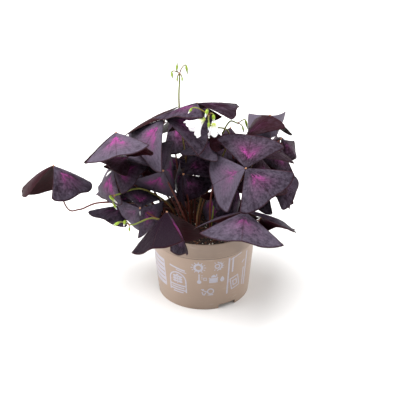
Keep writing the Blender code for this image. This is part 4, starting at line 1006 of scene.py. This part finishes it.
def flat_ring(bm, x, y, radius, line, sides=24, part=1.0, turn=0.0):
    """A ring or, with part under 1, an arc of it."""
    steps = max(3, int(sides * part))
    start = radians(turn)
    ends = [bm.verts.new((x + r * cos(start), y + r * sin(start), 0.0)) for r in (radius - line / 2, radius + line / 2)]
    edge = bm.edges.new(ends)
    bmesh.ops.spin(bm, geom=ends + [edge], axis=(0.0, 0.0, 1.0), cent=(x, y, 0.0), steps=steps, angle=tau * part,
                   use_merge=part >= 1.0)


def flat_frame(bm, x, y, wide, high, line, turn=0.0):
    """An empty rectangle drawn with a line."""
    way = Matrix.Rotation(radians(turn), 2)
    for dx, dy, w, h in ((0, high / 2, wide + line, line), (0, -high / 2, wide + line, line),
                         (-wide / 2, 0, line, high - line), (wide / 2, 0, line, high - line)):
        spot = way @ Vector((dx, dy))
        flat_bar(bm, x + spot.x, y + spot.y, w, h, turn)


def sign_sun(bm):
    flat_ring(bm, 0, 0, 4.3, 2.6)
    for k in range(SUN_RAYS):
        a = 360.0 * k / SUN_RAYS
        flat_bar(bm, 7.6 * cos(radians(a)), 6.4 * sin(radians(a)), 2.2, 0.9, a)


def sign_half_sun(bm):
    flat_ring(bm, -0.5, 0, 2.6, 1.4)
    flat_ring(bm, 0.3, 0, 4.6, 1.6, 24, 0.5, -90.0)
    for k in range(9):
        a = -120.0 + 30.0 * k
        flat_bar(bm, 6.6 * cos(radians(a)), 5.6 * sin(radians(a)), 1.8, 0.8, a)


def sign_thermometer(bm):
    flat_bar(bm, 0, 2.6, 1.5, 9.0)
    flat_disc(bm, 0, -3.6, 2.5)
    for k in range(3):
        flat_bar(bm, 3.2, 5.4 - 2.2 * k, 1.6, 0.7)
    flat_frame(bm, 6.6, 0.4, 3.0, 3.4, 0.7)


def sign_house(bm):
    flat_bar(bm, 0, -1.8, 9.6, 6.6)
    roof = flat_disc(bm, 0, 2.9, 6.6, 1.0, 3)
    for v in roof:
        v.co.y = (v.co.y - 2.9) * 0.55 + 2.9
    flat_bar(bm, 3.4, 4.8, 1.3, 3.0)


def sign_drop(bm):
    made = flat_disc(bm, 0, -0.6, 2.7, 0.9, 24)
    for v in made:
        if v.co.y > -0.6:
            v.co.y = -0.6 + (v.co.y + 0.6) * 1.7
            v.co.x *= 1.0 - 0.11 * max(0.0, v.co.y)


def sign_watering(bm):
    flat_ring(bm, 2.6, 0.4, 3.4, 1.4)
    flat_bar(bm, 2.6, -4.6, 6.4, 1.3)
    flat_bar(bm, -4.2, 1.0, 1.2, 6.0, 62.0)
    flat_bar(bm, -6.2, -2.6, 1.2, 4.6, 20.0)
    flat_bar(bm, -3.6, -3.0, 1.2, 4.2, -25.0)
    flat_bar(bm, -6.4, 3.2, 3.4, 1.2)


def sign_panel(bm):
    """A pale panel with broad even stripes left open in it."""
    for k in range(6):
        flat_bar(bm, 0, 15.5 - 6.2 * k, 27.0, 4.4)
    flat_bar(bm, -13.0, 0, 1.6, 35.4)
    flat_bar(bm, 13.0, 0, 1.6, 35.4)


def sign_arch(bm):
    """An arched frame with a leaf sprig over plain bars."""
    flat_ring(bm, 0, 3.5, 10.2, 1.6, 30, 0.5, 0.0)
    flat_bar(bm, -10.2, -4.4, 1.6, 16.0)
    flat_bar(bm, 10.2, -4.4, 1.6, 16.0)
    for k, (wide, high) in enumerate(((20.0, 1.8), (16.0, 1.5), (20.0, 1.8), (13.0, 1.5))):
        flat_bar(bm, 0, -3.8 - 3.1 * k, wide, high)
    flat_bar(bm, 0, 3.6, 1.1, 9.0)
    for k in range(3):
        for side in (-1.0, 1.0):
            flat_disc(bm, side * 3.4, 1.6 + 3.3 * k, 1.5, 1.9, 16)
    flat_disc(bm, 0, 10.0, 1.6)


def sign_lines(bm):
    flat_bar(bm, -1.0, 1.6, 20.0, 1.9, -9.0)
    flat_bar(bm, 4.0, -1.8, 13.0, 1.2, -9.0)


def sign_tall(bm):
    """A tall open panel: a bar beside it, a tab inside, and a square in a square."""
    flat_bar(bm, -8.2, 0, 1.9, 49.0)
    flat_bar(bm, -3.0, 14.0, 2.0, 20.0)
    flat_frame(bm, 1.6, -11.5, 11.0, 15.0, 1.3, 12.0)
    flat_frame(bm, 1.6, -11.5, 5.0, 6.4, 1.4, 12.0)
    flat_bar(bm, 1.8, 24.0, 16.0, 1.1, 14.0)


def sign_side(bm):
    flat_bar(bm, 0, 0, 2.0, 46.0)
    flat_bar(bm, -4.0, -9.0, 1.6, 24.0)
    flat_bar(bm, -5.6, 12.0, 5.0, 1.4, 35.0)


# Each sign: what draws it, degrees to the right of the pot's front, height of its middle.
SIGNS = (
    (sign_sun, -6.0, 58.7), (sign_half_sun, 15.9, 59.7), (sign_thermometer, -5.3, 42.6),
    (sign_house, 11.4, 42.5), (sign_drop, 22.0, 40.8), (sign_watering, 5.4, 25.3),
    (sign_panel, -65.0, 39.5), (sign_lines, -31.0, 51.5), (sign_arch, -32.0, 33.5),
    (sign_tall, 38.0, 42.8), (sign_side, 57.0, 43.0),
)


def build_print(look):
    """The care signs: flat shapes laid round the pot, as thin as ink."""
    bm = bmesh.new()
    for draw, right, high in SIGNS:
        flat = bmesh.new()
        draw(flat)
        bmesh.ops.recalc_face_normals(flat, faces=flat.faces)
        for f in flat.faces:
            if f.normal.z < 0.0:
                f.normal_flip()
        skin = bmesh.ops.extrude_face_region(flat, geom=flat.faces[:])["geom"]
        raised = {g for g in skin if isinstance(g, bmesh.types.BMVert)}
        for v in flat.verts:
            z = high + v.co.y
            radius = pot_radius(z) + (look.ink_lift / MM if v in raised else -0.05)
            a = radians(right) + v.co.x / pot_radius(z)
            v.co = Vector((radius * sin(a), -radius * cos(a), z)) * MM
        bmesh.ops.recalc_face_normals(flat, faces=flat.faces)
        mesh = bpy.data.meshes.new("sign")
        flat.to_mesh(mesh)
        flat.free()
        bm.from_mesh(mesh)
        bpy.data.meshes.remove(mesh)
    return new_piece("care_signs_print", bm, [ink_material(look)], sharp=30.0)


# ---------------------------------------------------------------- soil

def soil_height(x, y):
    """Height of the soil's top in mm: gentle swells, as in the CAD model, and crumbly lumps."""
    swell = SOIL_LUMP * 0.5 * (sin(x * 0.17 + 1.3) * cos(y * 0.21) + sin(x * 0.09 - y * 0.13))
    rough = noise.noise(Vector((x * 0.22, y * 0.22, 3.0))) * 0.8 + noise.noise(Vector((x * 0.7, y * 0.7, 9.0))) * 0.5
    return SOIL_TOP + swell + rough


def build_soil(look):
    bm = bmesh.new()
    rim = POT_COLLAR_FOOT_RADIUS - POT_WALL - SOIL_GAP + 0.3
    made = bmesh.ops.create_grid(bm, x_segments=84, y_segments=84, size=1.0)["verts"]
    for v in made:
        x, y = v.co.x, v.co.y
        dx, dy = x * sqrt(1.0 - y * y / 2.0) * rim, y * sqrt(1.0 - x * x / 2.0) * rim
        edge = min(1.0, (rim - sqrt(dx * dx + dy * dy)) / 6.0)
        v.co = Vector((dx, dy, soil_height(dx, dy) - (1.0 - max(0.0, edge)) * 1.4)) * MM
    edges = [e for e in bm.edges if e.is_boundary]
    for radius, z in ((rim - 0.3, POT_COLLAR_BOTTOM + 1.8), (POT_BODY_TOP_RADIUS - POT_WALL - SOIL_GAP, POT_COLLAR_BOTTOM - 0.2),
                      (POT_FOOT_RADIUS - 0.9 - SOIL_GAP, POT_FLOOR_HIGH + SOIL_GAP)):
        grown = bmesh.ops.extrude_edge_only(bm, edges=edges)["geom"]
        verts = {g for g in grown if isinstance(g, bmesh.types.BMVert)}
        edges = [g for g in grown if isinstance(g, bmesh.types.BMEdge) and set(g.verts) <= verts]
        for v in verts:
            flat = Vector((v.co.x, v.co.y)).normalized() * radius
            v.co = Vector((flat.x, flat.y, z)) * MM
    bmesh.ops.holes_fill(bm, edges=edges)
    bmesh.ops.recalc_face_normals(bm, faces=bm.faces)
    new_piece("peat_soil", bm, [peat_material(look)], ("soil",), sharp=50.0)
    rng = random.Random(SEED)
    bm = bmesh.new()
    for i in range(look.crumbs):
        a = rng.uniform(0.0, tau)
        r = sqrt(rng.random()) * (rim - 4.0)
        x, y = r * cos(a), r * sin(a)
        kind = 0 if rng.random() < 0.62 else 1
        if rng.random() < 0.12:
            kind = 2
        size = rng.uniform(0.5, 1.6) if kind != 2 else rng.uniform(0.5, 1.1)
        made = bmesh.ops.create_icosphere(bm, subdivisions=1, radius=1.0)["verts"]
        flatness = rng.uniform(0.35, 0.8) if kind != 2 else 0.9
        longer = rng.uniform(1.0, 2.4) if kind == 1 else 1.0
        for v in made:
            v.co *= rng.uniform(0.72, 1.25)
        turn = (Matrix.Rotation(rng.uniform(0.0, tau), 4, "Z") @ Matrix.Rotation(rng.uniform(-0.5, 0.5), 4, "X"))
        shape = Matrix.Diagonal((size * longer * MM, size * MM, size * flatness * MM, 1.0))
        spot = Vector((x, y, soil_height(x, y) + size * flatness * 0.35)) * MM
        bmesh.ops.transform(bm, matrix=Matrix.Translation(spot) @ turn @ shape, verts=made)
        for f in {f for v in made for f in v.link_faces}:
            f.material_index = kind
    mats = [crumb_material("peat_crumb", tuple(c * 1.4 for c in look.peat), 0.9),
            crumb_material("bark_chip", tuple(look.bark), 0.8),
            crumb_material("perlite_grain", tuple(look.perlite), 0.7)]
    new_piece("soil_crumbs", bm, mats, smooth=False)


# ---------------------------------------------------------------- flower stalks

def stalk_line(stalk):
    foot = Vector((stalk["foot"][0], stalk["foot"][1], SOIL_TOP + 2.0))
    knots = [foot] + [Vector(p) for p in stalk["via"]] + [Vector(stalk["top"])]
    reach = (knots[1] - knots[0]).length
    last = (knots[-1] - knots[-2]).length
    line = curve_points(knots, UP * reach, Vector(stalk["arrive"]).normalized() * last, 16)
    return [Vector((foot.x, foot.y, SOIL_TOP - HOLE_DEPTH + HOLE_GAP))] + line


def add_bud(bm, along, top, bud, rng):
    """A thin arched stalk, and at its end a bud: petals rolled tight inside five green sepals."""
    base = Vector(bud["base"])
    way = Vector(bud["way"]).normalized()
    line = curve_points([top, base], Vector(bud["leave"]), way * (base - top).length * 0.9, 14)
    line[-1] = base + way * bud["radius"] * 0.3
    radii = [PEDICEL_RADIUS * (1.0 + 0.25 * i / (len(line) - 1)) for i in range(len(line))]
    sweep(bm, line, radii, 8, along, 0)
    long, wide = bud["length"], bud["radius"]
    egg(bm, base + way * long * 0.55, wide * 0.78, long * 0.45 / (wide * 0.78), way, 12, 10, 2, 0.55)
    side = way.orthogonal().normalized()
    twist = rng.uniform(0.0, 60.0)
    for k in range(5):
        spin = Matrix.Rotation(radians(72.0 * k + twist), 3, way)
        lean = (spin @ side) * 0.30 * wide
        egg(bm, base + way * long * 0.36 + lean, wide * 0.70, long * 0.40 / (wide * 0.70), (way + (spin @ side) * 0.05).normalized(),
            8, 8, 1, 0.75)


def build_stalk(name, stalk, mats, rng):
    bm = bmesh.new()
    along = bm.verts.layers.float.new("along")
    line = stalk_line(stalk)
    count = len(line)
    radii = [STALK_FOOT_RADIUS + (STALK_TIP_RADIUS - STALK_FOOT_RADIUS) * i / (count - 1) for i in range(count)]
    sweep(bm, line, radii, 10, along, 0)
    top = Vector(stalk["top"])
    if stalk["buds"]:
        egg(bm, top, STALK_TIP_RADIUS + 0.35, 1.1, UP, 12, 8, 3)
    else:
        egg(bm, top, STALK_TIP_RADIUS + 0.25, 0.5, UP, 12, 6, 3)
    for bud in stalk["buds"]:
        add_bud(bm, along, top, bud, rng)
    new_piece(name + "_fine", bm, mats, (name,))


def build_bloom(name, bloom, look, mats, rng):
    """An open flower: five overlapping petals in a funnel, their tips rolled back, and a green eye."""
    turn = UP.rotation_difference(Vector(bloom["way"]).normalized()).to_matrix()
    base = Vector(bloom["base"])
    bm = bmesh.new()
    uv = bm.loops.layers.uv.new("blade")
    for k in range(5):
        made = bmesh.ops.create_grid(bm, x_segments=10, y_segments=14, size=1.0)["verts"]
        for face in {f for v in made for f in v.link_faces}:
            for loop in face.loops:
                loop[uv].uv = ((loop.vert.co.x + 1.0) / 2.0, (loop.vert.co.y + 1.0) / 2.0)
        for v in made:
            t, u = v.co.x, (v.co.y + 1.0) / 2.0
            lobe = 1.0 - 0.22 * abs(t) ** 2.4 * u ** 2
            w = radians(72.0 * k) + radians(38.0) * t * (1.0 - 0.30 * u ** 3)
            reach = bloom["long"] * u * lobe
            flare = bloom["neck"] + (bloom["mouth"] - bloom["neck"]) * u ** 1.5
            radius = flare + (0.35 * t if u > 0.1 else 0.0) - 0.5 * (1.0 - t * t) * u * 0.6 + 0.4
            v.co = (base + turn @ Vector((radius * cos(w), radius * sin(w), reach))) * MM
    petals = new_piece(name + "_petals", bm, [mats["petal"]], (name,), sharp=0.0)
    solid = petals.modifiers.new("thickness", "SOLIDIFY")
    solid.thickness = 0.3 * MM
    solid.offset = 0.0
    bm = bmesh.new()
    along = bm.verts.layers.float.new("along")
    way = Vector(bloom["way"]).normalized()
    side = way.orthogonal().normalized()
    for k in range(5):
        spin = Matrix.Rotation(radians(72.0 * k + 36.0), 3, way)
        start = base + way * 0.5 + (spin @ side) * 0.5
        tip = base + way * bloom["long"] * (0.42 + 0.08 * (k % 2)) + (spin @ side) * 1.3
        sweep(bm, [start, (start + tip) / 2.0 + (spin @ side) * 0.2, tip], [0.22, 0.2, 0.18], 6, along, 0)
        egg(bm, tip, 0.42, 1.6, way, 8, 6, 1)
    new_piece(name + "_eye", bm, [mats["green"], mats["sepal"]])


# ---------------------------------------------------------------- stage

CAMERA_DISTANCE = 1500.0
CAMERA_RISE = 29.5
CAMERA_AIM = (-4.1, 0.0, 112.6)
CAMERA_FILM = 36.0
PICTURE_WIDTH = 400.0
PIXELS_PER_MM = 0.8945


def aim(obj, target):
    obj.rotation_euler = (target - obj.location).to_track_quat("-Z", "Y").to_euler()


def add_softbox(name, spot, target, wide, power, colour=(1.0, 1.0, 1.0)):
    """A large soft studio light; spot and target in metres."""
    data = bpy.data.lights.new(name, "AREA")
    data.shape = "RECTANGLE"
    data.size = wide[0]
    data.size_y = wide[1]
    data.energy = power
    data.color = colour
    lamp = bpy.data.objects.new(name, data)
    lamp.location = spot
    aim(lamp, Vector(target))
    bpy.context.scene.collection.objects.link(lamp)


def build_stage(look):
    bm = bmesh.new()
    bmesh.ops.create_grid(bm, x_segments=2, y_segments=2, size=4.0)
    mesh = bpy.data.meshes.new("studio_floor")
    bm.to_mesh(mesh)
    bm.free()
    floor = bpy.data.objects.new("studio_floor", mesh)
    bpy.context.scene.collection.objects.link(floor)
    mesh.materials.append(floor_material(look))
    middle = (0.0, 0.0, 0.12)
    add_softbox("softbox_above", (-0.3, 0.05, 1.6), middle, (1.9, 1.6), look.key)
    add_softbox("softbox_left", (-1.6, 0.1, 1.05), middle, (2.2, 1.7), look.side)
    add_softbox("softbox_right", (1.6, 0.2, 1.05), middle, (2.2, 1.7), look.side * 0.75)
    world = bpy.data.worlds.new("white_surroundings")
    world.use_nodes = True
    sky = world.node_tree.nodes["Background"]
    sky.inputs["Color"].default_value = (1.0, 1.0, 1.0, 1.0)
    sky.inputs["Strength"].default_value = look.sky
    bpy.context.scene.world = world
    data = bpy.data.cameras.new("photo_camera")
    data.sensor_width = CAMERA_FILM
    data.lens = PIXELS_PER_MM * CAMERA_DISTANCE / PICTURE_WIDTH * CAMERA_FILM
    data.clip_end = 20.0
    camera = bpy.data.objects.new("photo_camera", data)
    rise = radians(CAMERA_RISE)
    target = Vector(CAMERA_AIM) * MM
    camera.location = target + Vector((0.0, -cos(rise), sin(rise))) * CAMERA_DISTANCE * MM
    aim(camera, target)
    bpy.context.scene.collection.objects.link(camera)
    bpy.context.scene.camera = camera
    bpy.context.scene.view_settings.view_transform = "Standard"


# ---------------------------------------------------------------- operators

class SHAMROCK_OT_pot(bpy.types.Operator):
    """Builds the moulded nursery pot and the care signs printed on it"""
    bl_idname = "shamrock.pot"
    bl_label = "Nursery pot"

    def execute(self, context):
        look = context.scene.shamrock.pot
        build_pot(look)
        build_print(look)
        return {"FINISHED"}


class SHAMROCK_OT_soil(bpy.types.Operator):
    """Builds the peat soil and the crumbs on it"""
    bl_idname = "shamrock.soil"
    bl_label = "Soil"

    def execute(self, context):
        build_soil(context.scene.shamrock.soil)
        return {"FINISHED"}


class SHAMROCK_OT_leaves(bpy.types.Operator):
    """Builds every leaf: three leaflets, their junction and the stem"""
    bl_idname = "shamrock.leaves"
    bl_label = "Leaves"

    def execute(self, context):
        look = context.scene.shamrock.leaf
        rng = random.Random(SEED)
        mats = {
            "blade": [leaf_top_material(look), leaf_under_material(look), leaf_edge_material(look)],
            "stem": [stem_material("oxalis_petiole_fleshy", tuple(c * 0.75 for c in look.petiole), tuple(look.petiole), 0.0),
                     stem_material("leaf_junction_fleshy", tuple(look.knob), tuple(look.knob), 3.0)],
        }
        for name, leaf in LEAVES.items():
            build_leaf(name, leaf, look, mats, rng)
        return {"FINISHED"}


class SHAMROCK_OT_flowers(bpy.types.Operator):
    """Builds the flower stalks, their buds and the open flowers"""
    bl_idname = "shamrock.flowers"
    bl_label = "Flowers"

    def execute(self, context):
        look = context.scene.shamrock.flower
        leaf = context.scene.shamrock.leaf
        rng = random.Random(SEED + 1)
        green = stem_material("flower_stalk_fleshy", tuple(leaf.petiole), tuple(look.green), 5.0)
        sepal = stem_material("sepal_waxy", tuple(look.sepal), tuple(look.green), 7.0)
        blush = stem_material("closed_petals_blush", tuple(look.petal), tuple(look.blush), 9.0)
        node = stem_material("stalk_top_orange", tuple(leaf.knob), tuple(leaf.knob), 11.0)
        for name, stalk in STALKS.items():
            build_stalk(name, stalk, [green, sepal, blush, node], rng)
        mats = {"petal": petal_material(look), "green": green, "sepal": sepal}
        for name, bloom in BLOOMS.items():
            build_bloom(name, bloom, look, mats, rng)
        return {"FINISHED"}


class SHAMROCK_OT_stage(bpy.types.Operator):
    """Adds the plain floor, the soft studio lights and the camera"""
    bl_idname = "shamrock.stage"
    bl_label = "Stage"

    def execute(self, context):
        build_stage(context.scene.shamrock.stage)
        return {"FINISHED"}


class SHAMROCK_PT_panel(bpy.types.Panel):
    """Lists the plant's pieces and their settings"""
    bl_label = "Shamrock"
    bl_idname = "SHAMROCK_PT_panel"
    bl_space_type = "VIEW_3D"
    bl_region_type = "UI"
    bl_category = "Shamrock"

    def draw(self, context):
        settings = context.scene.shamrock
        for group, command in (("pot", "shamrock.pot"), ("soil", "shamrock.soil"), ("leaf", "shamrock.leaves"),
                               ("flower", "shamrock.flowers"), ("stage", "shamrock.stage")):
            box = self.layout.box()
            box.operator(command)
            look = getattr(settings, group)
            for key in look.__annotations__:
                box.prop(look, key)


CLASSES = (
    ShamrockPotSettings, ShamrockSoilSettings, ShamrockLeafSettings, ShamrockFlowerSettings,
    ShamrockStageSettings, ShamrockSettings, SHAMROCK_OT_pot, SHAMROCK_OT_soil, SHAMROCK_OT_leaves,
    SHAMROCK_OT_flowers, SHAMROCK_OT_stage, SHAMROCK_PT_panel,
)


def register():
    for kind in CLASSES:
        bpy.utils.register_class(kind)
    bpy.types.Scene.shamrock = PointerProperty(type=ShamrockSettings)


def unregister():
    del bpy.types.Scene.shamrock
    for kind in reversed(CLASSES):
        bpy.utils.unregister_class(kind)


def main():
    register()
    bpy.ops.shamrock.pot()
    bpy.ops.shamrock.soil()
    bpy.ops.shamrock.leaves()
    bpy.ops.shamrock.flowers()
    bpy.ops.shamrock.stage()


if __name__ == "__main__":
    main()
